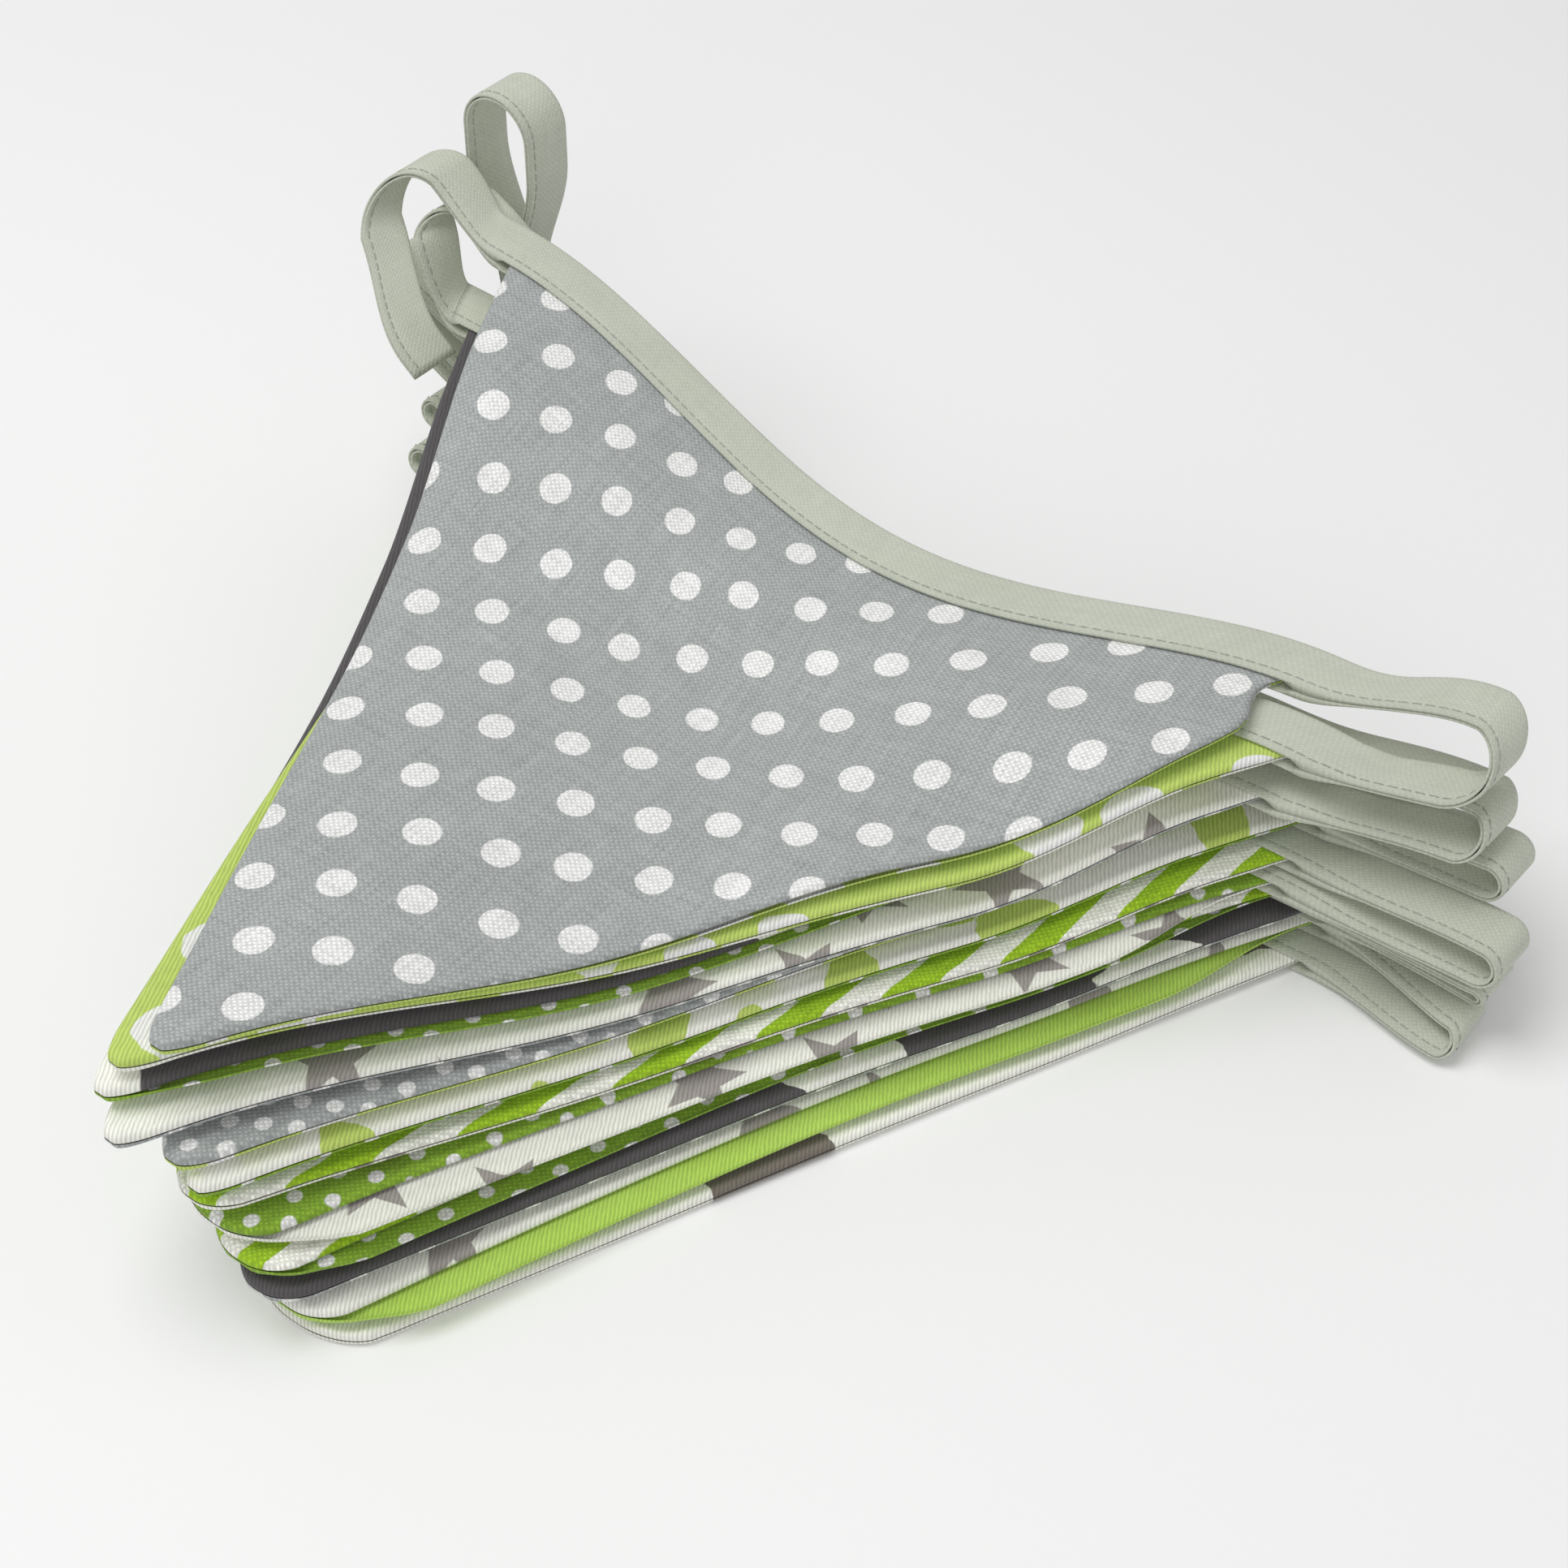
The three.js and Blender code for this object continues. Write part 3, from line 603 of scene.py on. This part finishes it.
def loop_rings():
    """The hanging loop: up one limb, round the crown and down the other."""
    limb = []
    for i in range(LOOP_LIMB_STEPS):
        z = mix(LOOP["foot"], LOOP["crown"], i / LOOP_LIMB_STEPS)
        limb.append((mix(LOOP["foot_half"], LOOP["half"], soft(LOOP["foot"], LOOP["shoulder"], z)), z))
    line = [(LOOP["x"] + off, z) for off, z in limb]
    for i in range(LOOP_CROWN_STEPS + 1):
        a = math.pi * i / LOOP_CROWN_STEPS
        line.append((LOOP["x"] + LOOP["half"] * math.cos(a), LOOP["crown"] + LOOP["half"] * math.sin(a)))
    line += [(LOOP["x"] - off, z) for off, z in reversed(limb)]
    down, high = section(CLOSED_HALF, CLOSED_SLIT)
    rings = []
    for i, (x, z) in enumerate(line):
        a, b = line[max(i - 1, 0)], line[min(i + 1, len(line) - 1)]
        run = np.array([b[0] - a[0], b[1] - a[1]])
        run = run / np.linalg.norm(run)
        rings.append(np.stack([x - run[1] * high, LOOP["near"] + TAPE_WIDTH - down, z + run[0] * high],
                              axis=1))
    return rings


# Materials

# The weaves, in millimetres and radians, and how far their tone and line vary.
PLAIN_TURN, PLAIN_WAVER, SLUB = 0.08, 3.6, 1.8
WAVER_GRAINS = [(0.4, 1.3, 0), (1.3, 0.4, 0)]
WARP_GRAIN, WEFT_GRAIN, FLECK_GRAIN = (1.5, 0.09, 0), (0.09, 1.5, 0), (1.6, 0.5, 0)
TWILL_TURN, TWILL_WAVER, FLECK = 0.57, 0.5, 0.28
SLOW_FADING, MOTTLE = 0.12, 0.1
# Painted shade along the edges of each cloth and of the tape: how far in it reaches, in millimetres, and how
# much darker it makes them.
PAINTED_EDGE_SHADE_REACH, PAINTED_EDGE_SHADE = 1.1, 0.10
# The prints: how uneven they are, and how soft the edges of their ink.
DOT_SQUEEZE, DOT_SHOVE, DOT_LUMPS, DOT_BLUR = 0.86, 0.09, 0.3, 0.16
OVAL_LUMPS, OVAL_BLUR, WHITE_POINT_BLUR = 0.5, 0.18, 0.2
STAR_WAIST, STAR_BLUR = 0.45, 0.15
STRIPE_WAVER, STRIPE_BLUR = 0.06, 0.012
ANY_TURN = 6.28


def linear(red, green, blue):
    """A colour as the shaders need it, from its values of 0 to 255 on a screen."""
    shares = [c / 255 for c in (red, green, blue)]
    return tuple(c / 12.92 if c < 0.04045 else ((c + 0.055) / 1.055) ** 2.4 for c in shares) + (1,)


def feed(tree, socket, value):
    """Links a socket to another one, or sets its value."""
    if isinstance(value, bpy.types.NodeSocket):
        tree.links.new(value, socket)
    else:
        socket.default_value = value


def put(tree, kind, inputs=(), **settings):
    """A new node with its settings, and its inputs fed by name or number."""
    node = tree.nodes.new(kind)
    for key, value in settings.items():
        setattr(node, key, value)
    for key, value in dict(inputs).items():
        feed(tree, node.inputs[key], value)
    return node


def calc(tree, operation, *values):
    return put(tree, "ShaderNodeMath", enumerate(values), operation=operation).outputs[0]


def vector(tree, operation, *values):
    node = put(tree, "ShaderNodeVectorMath", enumerate(values), operation=operation)
    return node.outputs["Value" if operation in ("DOT_PRODUCT", "LENGTH") else "Vector"]


def parts(tree, value):
    return put(tree, "ShaderNodeSeparateXYZ", {0: value}).outputs


def joined(tree, *values):
    return put(tree, "ShaderNodeCombineXYZ", enumerate(values)).outputs[0]


def turned(tree, place, angle):
    node = put(tree, "ShaderNodeVectorRotate", {"Vector": place, "Angle": angle}, rotation_type="Z_AXIS")
    return node.outputs[0]


def fade(tree, value, full, none):
    """From 1 where a value is at full to 0 where it is at none, softly."""
    node = put(tree, "ShaderNodeMapRange", {"Value": value, "From Min": full, "From Max": none,
                                            "To Min": 1.0, "To Max": 0.0},
               interpolation_type="SMOOTHSTEP")
    return node.outputs[0]


def inked(tree, away, size, blur):
    """Full ink within a size and none past it, with a blurred edge."""
    return fade(tree, away, calc(tree, "SUBTRACT", size, blur), calc(tree, "ADD", size, blur))


def noise(tree, place, scale, detail=2.0):
    node = put(tree, "ShaderNodeTexNoise", {"Vector": place, "Scale": scale, "Detail": detail})
    return node.outputs[0]


def start_group(name, inputs, outputs):
    """A new node group, with the sockets that come in and those that go out."""
    tree = bpy.data.node_groups.new(name, "ShaderNodeTree")
    for label, kind, value in inputs:
        socket = tree.interface.new_socket(label, in_out="INPUT", socket_type="NodeSocket" + kind)
        if value is not None:
            socket.default_value = value
    for label in outputs:
        tree.interface.new_socket(label, in_out="OUTPUT", socket_type="NodeSocketFloat")
    came = tree.nodes.new("NodeGroupInput").outputs
    goes = tree.nodes.new("NodeGroupOutput").inputs
    return tree, came, goes


def plain_weave_group():
    """Threads over and under each other, wavering and slubbed; Depth is how strongly they show."""
    inputs = [("Cloth", "Vector", None), ("Thread", "Float", 0.6), ("Depth", "Float", 0.13)]
    tree, came, goes = start_group("plain_weave", inputs, ["Height", "Tone"])
    turn = turned(tree, came["Cloth"], PLAIN_TURN)
    xyz = parts(tree, turn)
    step = calc(tree, "DIVIDE", math.pi, came["Thread"])
    phases = []
    for axis, grain in enumerate(WAVER_GRAINS):
        waver = noise(tree, vector(tree, "MULTIPLY", turn, grain), 1.0)
        phases.append(calc(tree, "ADD", calc(tree, "MULTIPLY", xyz[axis], step),
                           calc(tree, "MULTIPLY", waver, PLAIN_WAVER)))
    over = calc(tree, "MULTIPLY", *(calc(tree, "SINE", phase) for phase in phases))
    doubled = [calc(tree, "MULTIPLY", phase, 2.0) for phase in phases]
    ridges = calc(tree, "ADD", *(calc(tree, "COSINE", phase) for phase in doubled))
    over = calc(tree, "SUBTRACT", over, calc(tree, "MULTIPLY", ridges, 0.25))
    warp = noise(tree, vector(tree, "MULTIPLY", turn, WARP_GRAIN), 1.0)
    weft = noise(tree, vector(tree, "MULTIPLY", turn, WEFT_GRAIN), 1.0)
    slub = calc(tree, "SUBTRACT", calc(tree, "ADD", warp, weft), 1.0)
    slub = calc(tree, "MULTIPLY", slub, calc(tree, "MULTIPLY", came["Depth"], SLUB))
    height = calc(tree, "ADD", calc(tree, "MULTIPLY", over, 0.5), calc(tree, "MULTIPLY", slub, 3.0))
    tree.links.new(height, goes["Height"])
    worn = calc(tree, "ADD", calc(tree, "MULTIPLY", noise(tree, came["Cloth"], 0.9, 1.0), 1.6), 0.2)
    depth = calc(tree, "MULTIPLY", came["Depth"], worn)
    tone = calc(tree, "ADD", slub, calc(tree, "MULTIPLY", over, depth))
    tree.links.new(calc(tree, "ADD", tone, 1.0), goes["Tone"])
    return tree


def twill_weave_group():
    """Slanting ribs with flecks along them; Depth is how strongly the ribs show."""
    inputs = [("Cloth", "Vector", None), ("Thread", "Float", 0.72), ("Depth", "Float", 0.11)]
    tree, came, goes = start_group("twill_weave", inputs, ["Height", "Tone"])
    turn = turned(tree, came["Cloth"], TWILL_TURN)
    waver = noise(tree, came["Cloth"], 0.35)
    across = calc(tree, "ADD", parts(tree, turn)[0], calc(tree, "MULTIPLY", waver, TWILL_WAVER))
    rib = calc(tree, "SINE", calc(tree, "DIVIDE", calc(tree, "MULTIPLY", across, 2 * math.pi),
                                  came["Thread"]))
    fleck = noise(tree, vector(tree, "MULTIPLY", turn, FLECK_GRAIN), 1.0)
    tree.links.new(calc(tree, "ADD", calc(tree, "MULTIPLY", rib, 0.5), fleck), goes["Height"])
    tone = calc(tree, "ADD", calc(tree, "MULTIPLY", rib, came["Depth"]),
                calc(tree, "MULTIPLY", fleck, FLECK))
    tree.links.new(calc(tree, "ADD", tone, 1.0 - FLECK / 2), goes["Tone"])
    return tree


def dot_rows_group():
    """Round dots on a slanted lattice, a little uneven; Across and Down turn a place into rows."""
    inputs = [("Cloth", "Vector", None), ("Across", "Vector", None), ("Down", "Vector", None),
              ("Start", "Vector", None), ("Back Across", "Vector", None), ("Back Down", "Vector", None),
              ("Radius", "Float", 3.0)]
    tree, came, goes = start_group("dot_rows", inputs, ["Dot"])
    cells = joined(tree, vector(tree, "DOT_PRODUCT", came["Cloth"], came["Across"]),
                   vector(tree, "DOT_PRODUCT", came["Cloth"], came["Down"]))
    cells = vector(tree, "ADD", vector(tree, "ADD", cells, came["Start"]), (0.5, 0.5, 0))
    whole = vector(tree, "FLOOR", cells)
    chance = put(tree, "ShaderNodeTexWhiteNoise", {"Vector": whole}, noise_dimensions="3D").outputs
    shift = vector(tree, "MULTIPLY", vector(tree, "SUBTRACT", chance["Color"], (0.5, 0.5, 0.5)),
                   (DOT_SHOVE, DOT_SHOVE, 0))
    off = vector(tree, "SUBTRACT", vector(tree, "SUBTRACT", cells, whole), (0.5, 0.5, 0))
    off = vector(tree, "SUBTRACT", off, shift)
    flat = joined(tree, vector(tree, "DOT_PRODUCT", off, came["Back Across"]),
                  vector(tree, "DOT_PRODUCT", off, came["Back Down"]))
    flat = vector(tree, "MULTIPLY", flat, (1.0, DOT_SQUEEZE, 0))
    lumpy = calc(tree, "SUBTRACT", noise(tree, came["Cloth"], 0.3, 0.0), 0.5)
    away = calc(tree, "ADD", vector(tree, "LENGTH", flat), calc(tree, "MULTIPLY", lumpy, DOT_LUMPS))
    tree.links.new(inked(tree, away, came["Radius"], DOT_BLUR), goes["Dot"])
    return tree


def cell_parts(tree, place, pitch, turn, start, shove):
    """A square lattice, turned and staggered: the place within a cell, and the cell's random value."""
    spread = joined(tree, pitch, pitch, 1.0)
    cells = vector(tree, "ADD", vector(tree, "DIVIDE", turned(tree, place, turn), spread), start)
    cells = vector(tree, "MULTIPLY", cells, (1, 1, 0))
    row = calc(tree, "ABSOLUTE", parts(tree, vector(tree, "FLOOR", cells))[1])
    stagger = calc(tree, "MULTIPLY", calc(tree, "MODULO", row, 2.0), 0.5)
    cells = vector(tree, "ADD", cells, joined(tree, stagger))
    whole = vector(tree, "FLOOR", cells)
    chance = put(tree, "ShaderNodeTexWhiteNoise", {"Vector": whole}, noise_dimensions="3D").outputs
    jitter = vector(tree, "SUBTRACT", chance["Color"], (0.5, 0.5, 0.5))
    jitter = vector(tree, "MULTIPLY", jitter, joined(tree, shove, shove))
    off = vector(tree, "SUBTRACT", vector(tree, "SUBTRACT", cells, whole), (0.5, 0.5, 0))
    off = vector(tree, "SUBTRACT", off, jitter)
    off = vector(tree, "MULTIPLY", off, spread)
    return vector(tree, "MULTIPLY", off, (1, 1, 0)), chance["Value"]


SCATTER = [("Cloth", "Vector", None), ("Pitch", "Float", 20.0), ("Turn", "Float", 0.6),
           ("Start", "Vector", None), ("Shove", "Float", 0.2), ("Size", "Float", 6.0)]


def ovals_group():
    """Rounded ovals scattered in staggered rows, each turned its own way."""
    tree, came, goes = start_group("scattered_ovals", SCATTER + [("Stretch", "Float", 1.0)],
                                   ["Oval", "Chance"])
    off, chance = cell_parts(tree, came["Cloth"], came["Pitch"], came["Turn"], came["Start"], came["Shove"])
    off = turned(tree, off, calc(tree, "MULTIPLY", chance, ANY_TURN))
    away = vector(tree, "LENGTH", vector(tree, "MULTIPLY", off, joined(tree, 1.0, came["Stretch"])))
    lumpy = calc(tree, "SUBTRACT", noise(tree, came["Cloth"], 0.12), 0.5)
    lumpy = calc(tree, "MULTIPLY", calc(tree, "MULTIPLY", lumpy, came["Size"]), OVAL_LUMPS)
    away = calc(tree, "ADD", away, lumpy)
    tree.links.new(inked(tree, away, came["Size"], OVAL_BLUR), goes["Oval"])
    tree.links.new(chance, goes["Chance"])
    return tree


def stars_group():
    """Five-pointed stars in staggered rows, each turned its own way."""
    tree, came, goes = start_group("scattered_stars", SCATTER, ["Star"])
    off, chance = cell_parts(tree, came["Cloth"], came["Pitch"], came["Turn"], came["Start"], came["Shove"])
    xyz = parts(tree, off)
    fifth = 2 * math.pi / 5
    angle = calc(tree, "ADD", calc(tree, "ARCTAN2", xyz[1], xyz[0]), calc(tree, "MULTIPLY", chance, ANY_TURN))
    angle = calc(tree, "ABSOLUTE", calc(tree, "WRAP", angle, fifth / 2, -fifth / 2))
    away = vector(tree, "LENGTH", off)
    run_x = math.cos(fifth / 2) - STAR_WAIST
    run_y = math.sin(fifth / 2)
    reach = math.hypot(run_x, run_y)
    side = calc(tree, "SUBTRACT", calc(tree, "MULTIPLY", calc(tree, "COSINE", angle), run_y / reach),
                calc(tree, "MULTIPLY", calc(tree, "SINE", angle), run_x / reach))
    past = calc(tree, "SUBTRACT", calc(tree, "MULTIPLY", away, side),
                calc(tree, "MULTIPLY", came["Size"], STAR_WAIST * run_y / reach))
    tree.links.new(fade(tree, past, -STAR_BLUR, STAR_BLUR), goes["Star"])
    return tree


def fading_and_edge_shade_group():
    """Slow changes of tone over a cloth, and painted shade along its edges."""
    tree, came, goes = start_group("cloth_fading_and_edge_shade", [("Cloth", "Vector", None)], ["Tone"])
    slow = calc(tree, "MULTIPLY", noise(tree, came["Cloth"], 0.03, 3.0), SLOW_FADING)
    mottle = calc(tree, "MULTIPLY", noise(tree, came["Cloth"], 0.16, 1.0), MOTTLE)
    edge = parts(tree, came["Cloth"])[2]
    # Painted shade, darkest at the very edge and gone past its reach.
    painted_edge_shade = calc(tree, "MULTIPLY", fade(tree, edge, 0.0, PAINTED_EDGE_SHADE_REACH), -PAINTED_EDGE_SHADE)
    tone = calc(tree, "ADD", calc(tree, "ADD", slow, mottle), 1.0 - (SLOW_FADING + MOTTLE) / 2)
    tree.links.new(calc(tree, "ADD", tone, painted_edge_shade), goes["Tone"])
    return tree


GROUPS = {
    "plain": plain_weave_group(),
    "twill": twill_weave_group(),
    "dots": dot_rows_group(),
    "ovals": ovals_group(),
    "stars": stars_group(),
    "fading_and_edge_shade": fading_and_edge_shade_group(),
}


def grouped(tree, key, inputs):
    return put(tree, "ShaderNodeGroup", inputs, node_tree=GROUPS[key]).outputs


def blend_colour(tree, mask, low, high):
    node = put(tree, "ShaderNodeMix", data_type="RGBA")
    for key, value in (("Factor_Float", mask), ("A_Color", low), ("B_Color", high)):
        feed(tree, next(s for s in node.inputs if s.identifier == key), value)
    return next(s for s in node.outputs if s.identifier == "Result_Color")


def toned(tree, colour, tone):
    return vector(tree, "MULTIPLY", colour, joined(tree, tone, tone, tone))


def fabric(name, weave, print_on, depth):
    """A cloth of one weave, with the print that print_on lays on it."""
    material = bpy.data.materials.new(name)
    material.use_nodes = True
    tree = material.node_tree
    tree.nodes.clear()
    place = put(tree, "ShaderNodeAttribute", attribute_name="cloth").outputs["Vector"]
    thread = grouped(tree, weave, {"Cloth": place, "Depth": depth})
    # The slow tone of the cloth, times the painted shade along its edges.
    slow = grouped(tree, "fading_and_edge_shade", {"Cloth": place})
    tone = calc(tree, "MULTIPLY", thread["Tone"], slow["Tone"])
    colour = toned(tree, print_on(tree, place), tone)
    bump = put(tree, "ShaderNodeBump", {"Height": thread["Height"], "Strength": 0.35, "Distance": 0.0002})
    shader = put(tree, "ShaderNodeBsdfPrincipled", {
        "Base Color": colour, "Normal": bump.outputs[0], "Roughness": 0.92,
        "Specular IOR Level": 0.2, "Sheen Weight": 0.12, "Sheen Roughness": 0.6})
    put(tree, "ShaderNodeOutputMaterial", {"Surface": shader.outputs[0]})
    return material


GREY = linear(170, 174, 173)
WHITE = linear(238, 238, 236)
OFF_WHITE = linear(245, 245, 236)
LIME = linear(194, 216, 112)
BRIGHT_LIME = linear(180, 218, 84)
GREEN = linear(138, 176, 54)
STRIPE_GREEN = linear(160, 200, 40)
CHARCOAL = linear(90, 87, 89)
STAR_GREY = linear(166, 160, 156)
TAUPE = linear(122, 115, 106)
SAGE = linear(195, 200, 183)
THREAD = linear(150, 158, 146)


def dot_print(ground, dot, across, down, start, radius):
    """Across and down are the steps of the lattice in millimetres along and down the pennant."""
    size = across[0] * down[1] - across[1] * down[0]
    rows = {
        "Across": (down[1] / size, -down[0] / size, 0),
        "Down": (-across[1] / size, across[0] / size, 0),
        "Start": (start[0], start[1], 0),
        "Back Across": (across[0], down[0], 0),
        "Back Down": (across[1], down[1], 0),
        "Radius": radius,
    }

    def print_on(tree, place):
        mask = grouped(tree, "dots", {"Cloth": place, **rows})["Dot"]
        return blend_colour(tree, mask, ground, dot)
    return print_on


def oval_print(ground, oval, second=None, share=0.5, at_point=None, **sizes):
    """Ovals on a ground, some in a second ink; at_point is one more oval: its centre and radius."""
    sizes = {k.title(): v for k, v in sizes.items()}

    def print_on(tree, place):
        made = grouped(tree, "ovals", {"Cloth": place, **sizes})
        ink = oval
        if second:
            ink = blend_colour(tree, calc(tree, "GREATER_THAN", made["Chance"], share), oval, second)
        colour = blend_colour(tree, made["Oval"], ground, ink)
        if at_point:
            along, down, radius = at_point
            off = vector(tree, "MULTIPLY", vector(tree, "SUBTRACT", place, (along, down, 0)), (1, 1, 0))
            mask = fade(tree, vector(tree, "LENGTH", off), radius - WHITE_POINT_BLUR,
                        radius + WHITE_POINT_BLUR)
            colour = blend_colour(tree, mask, colour, oval)
        return colour
    return print_on


def star_print(ground, star, **sizes):
    sizes = {k.title(): v for k, v in sizes.items()}

    def print_on(tree, place):
        mask = grouped(tree, "stars", {"Cloth": place, **sizes})["Star"]
        return blend_colour(tree, mask, ground, star)
    return print_on


def stripe_print(ground, stripe, turn, period, share):
    """Even stripes, a share of each period in ink."""
    def print_on(tree, place):
        heading = (math.cos(turn) / period, math.sin(turn) / period, 0)
        waver = calc(tree, "MULTIPLY", noise(tree, place, 0.2), STRIPE_WAVER)
        across = calc(tree, "ADD", vector(tree, "DOT_PRODUCT", place, heading), waver)
        off = calc(tree, "ABSOLUTE", calc(tree, "SUBTRACT", calc(tree, "FRACT", across), 0.5))
        mask = fade(tree, off, share / 2 - STRIPE_BLUR, share / 2 + STRIPE_BLUR)
        return blend_colour(tree, mask, ground, stripe)
    return print_on


def plain_print(colour, paler):
    """One colour, paler in places."""
    def print_on(tree, place):
        slow = calc(tree, "MULTIPLY", noise(tree, place, 0.05), paler)
        return blend_colour(tree, slow, colour, WHITE)
    return print_on


# How strongly each weave shows.
WEAVE, TWILL, FINE_WEAVE = 0.24, 0.17, 0.08

CHARCOAL_OVALS = dict(second=TAUPE, share=0.7, pitch=58.0, turn=-1.122, start=(0.7, 0.49, 0), shove=0.16,
                      size=15.0, stretch=1.3)

MATERIALS = {
    "grey_dots": fabric("grey_dots", "plain", dot_print(
        GREY, WHITE, across=(11.1, -7.5), down=(10.6, 12.0), start=(5.0, 1.09), radius=3.1), WEAVE),
    "grey_fine_dots": fabric("grey_fine_dots", "plain", dot_print(
        GREY, WHITE, across=(4.4, -3.2), down=(3.4, 4.6), start=(0.2, 0.3), radius=1.35), WEAVE),
    "green_dots": fabric("green_dots", "plain", dot_print(
        GREEN, WHITE, across=(5.0, -3.4), down=(3.6, 5.0), start=(0.1, 0.6), radius=1.25), WEAVE),
    "lime_spots": fabric("lime_spots", "twill", oval_print(
        LIME, WHITE, pitch=19.0, turn=0.9, start=(0.3, 0.2, 0), shove=0.25, size=5.8, stretch=1.15), TWILL),
    "white_leaves": fabric("white_leaves", "twill", oval_print(
        OFF_WHITE, LIME, pitch=21.0, turn=0.5, start=(0.1, 0.7, 0), shove=0.3, size=8.0, stretch=1.6), TWILL),
    "white_stars": fabric("white_stars", "twill", star_print(
        OFF_WHITE, STAR_GREY, pitch=24.0, turn=0.75, start=(0.4, 0.1, 0), shove=0.2, size=8.5), TWILL),
    "plain_lime": fabric("plain_lime", "twill", plain_print(BRIGHT_LIME, 0.08), TWILL),
    "lime_stripes": fabric("lime_stripes", "plain", stripe_print(
        OFF_WHITE, STRIPE_GREEN, turn=0.06, period=9.4, share=0.5), WEAVE),
    "charcoal": fabric("charcoal", "twill", oval_print(CHARCOAL, OFF_WHITE, **CHARCOAL_OVALS), TWILL),
    "charcoal_white_point": fabric("charcoal_white_point", "twill", oval_print(
        CHARCOAL, OFF_WHITE, at_point=(-9, 208, 18), **CHARCOAL_OVALS), TWILL),
    "white_taupe": fabric("white_taupe", "twill", oval_print(
        OFF_WHITE, TAUPE, pitch=64.0, turn=0.7, start=(0.15, 0.6, 0), shove=0.3, size=19.0, stretch=1.5),
        TWILL),
    "tape": fabric("tape", "plain", plain_print(SAGE, 0.2), FINE_WEAVE),
    "thread": fabric("thread", "twill", plain_print(THREAD, 0.2), FINE_WEAVE),
}

# The pieces

for index, row in enumerate(PENNANTS):
    panel(index, 1, MATERIALS[row.get("print", row["cloth"])])
    panel(index, -1, MATERIALS[row["lining"]])

tape_rings = arch_rings()[::-1]
for index in range(len(PENNANTS)):
    flip = 1 if index % 2 == 0 else -1
    tape_rings += along_pennant(index, flip)
    if index < TOP_LEVEL:
        bights = RIGHT_BIGHTS if flip > 0 else LEFT_BIGHTS
        tape_rings += bight_rings(index, flip, bights[index // 2])
tape_rings += tail_rings()

tape, tape_length = skin("sewn_tape", tape_rings, MATERIALS["tape"])
tape_thread = stitches("tape_stitches", tape_rings, MATERIALS["thread"])
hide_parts("tape")

loop, loop_length = skin("hanging_loop_tape", loop_rings(), MATERIALS["tape"])
loop_thread = stitches("hanging_loop_stitches", loop_rings(), MATERIALS["thread"])
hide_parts("hanging_loop")

# The floor, the light and the camera

def make_floor():
    mesh = bpy.data.meshes.new("floor")
    size, drop = 6.0, -0.0003
    mesh.from_pydata([(-size, -size, drop), (size, -size, drop), (size, size, drop), (-size, size, drop)],
                     [], [(0, 1, 2, 3)])
    floor = bpy.data.objects.new("floor", mesh)
    bpy.context.scene.collection.objects.link(floor)
    material = bpy.data.materials.new("pale_floor")
    material.use_nodes = True
    shader = material.node_tree.nodes["Principled BSDF"]
    shader.inputs["Base Color"].default_value = (0.98, 0.98, 0.98, 1)
    shader.inputs["Roughness"].default_value = 0.9
    shader.inputs["Specular IOR Level"].default_value = 0.1
    mesh.materials.append(material)


def make_light(name, place, target, size, power):
    data = bpy.data.lights.new(name, "AREA")
    data.shape = "DISK"
    data.size = size
    data.energy = power
    lamp = bpy.data.objects.new(name, data)
    lamp.location = place
    lamp.rotation_mode = "QUATERNION"
    lamp.rotation_quaternion = (Vector(target) - Vector(place)).to_track_quat("-Z", "Y")
    bpy.context.scene.collection.objects.link(lamp)


make_floor()
make_light("soft_box_over", (-0.35, -0.25, 1.3), (0, 0, 0.03), 1.1, 9.5)
make_light("soft_box_front", (0.7, -1.1, 0.9), (0, 0, 0.03), 0.9, 4)
world = bpy.data.worlds.new("studio")
world.use_nodes = True
world.node_tree.nodes["Background"].inputs["Color"].default_value = (1, 1, 1, 1)
world.node_tree.nodes["Background"].inputs["Strength"].default_value = 0.42
bpy.context.scene.world = world
bpy.context.scene.view_settings.view_transform = "Standard"

camera_data = bpy.data.cameras.new("camera")
camera_data.angle = math.radians(28)
camera = bpy.data.objects.new("camera", camera_data)
bpy.context.scene.collection.objects.link(camera)
azimuth, elevation, distance = math.radians(38.16), math.radians(42), 0.58
aim = Vector((0.01412, 0.0289, 0.030))
back = Vector((math.sin(azimuth) * math.cos(elevation), -math.cos(azimuth) * math.cos(elevation),
               math.sin(elevation)))
camera.location = aim + back * distance
camera.rotation_mode = "QUATERNION"
camera.rotation_quaternion = (-back).to_track_quat("-Z", "Y")
bpy.context.scene.camera = camera
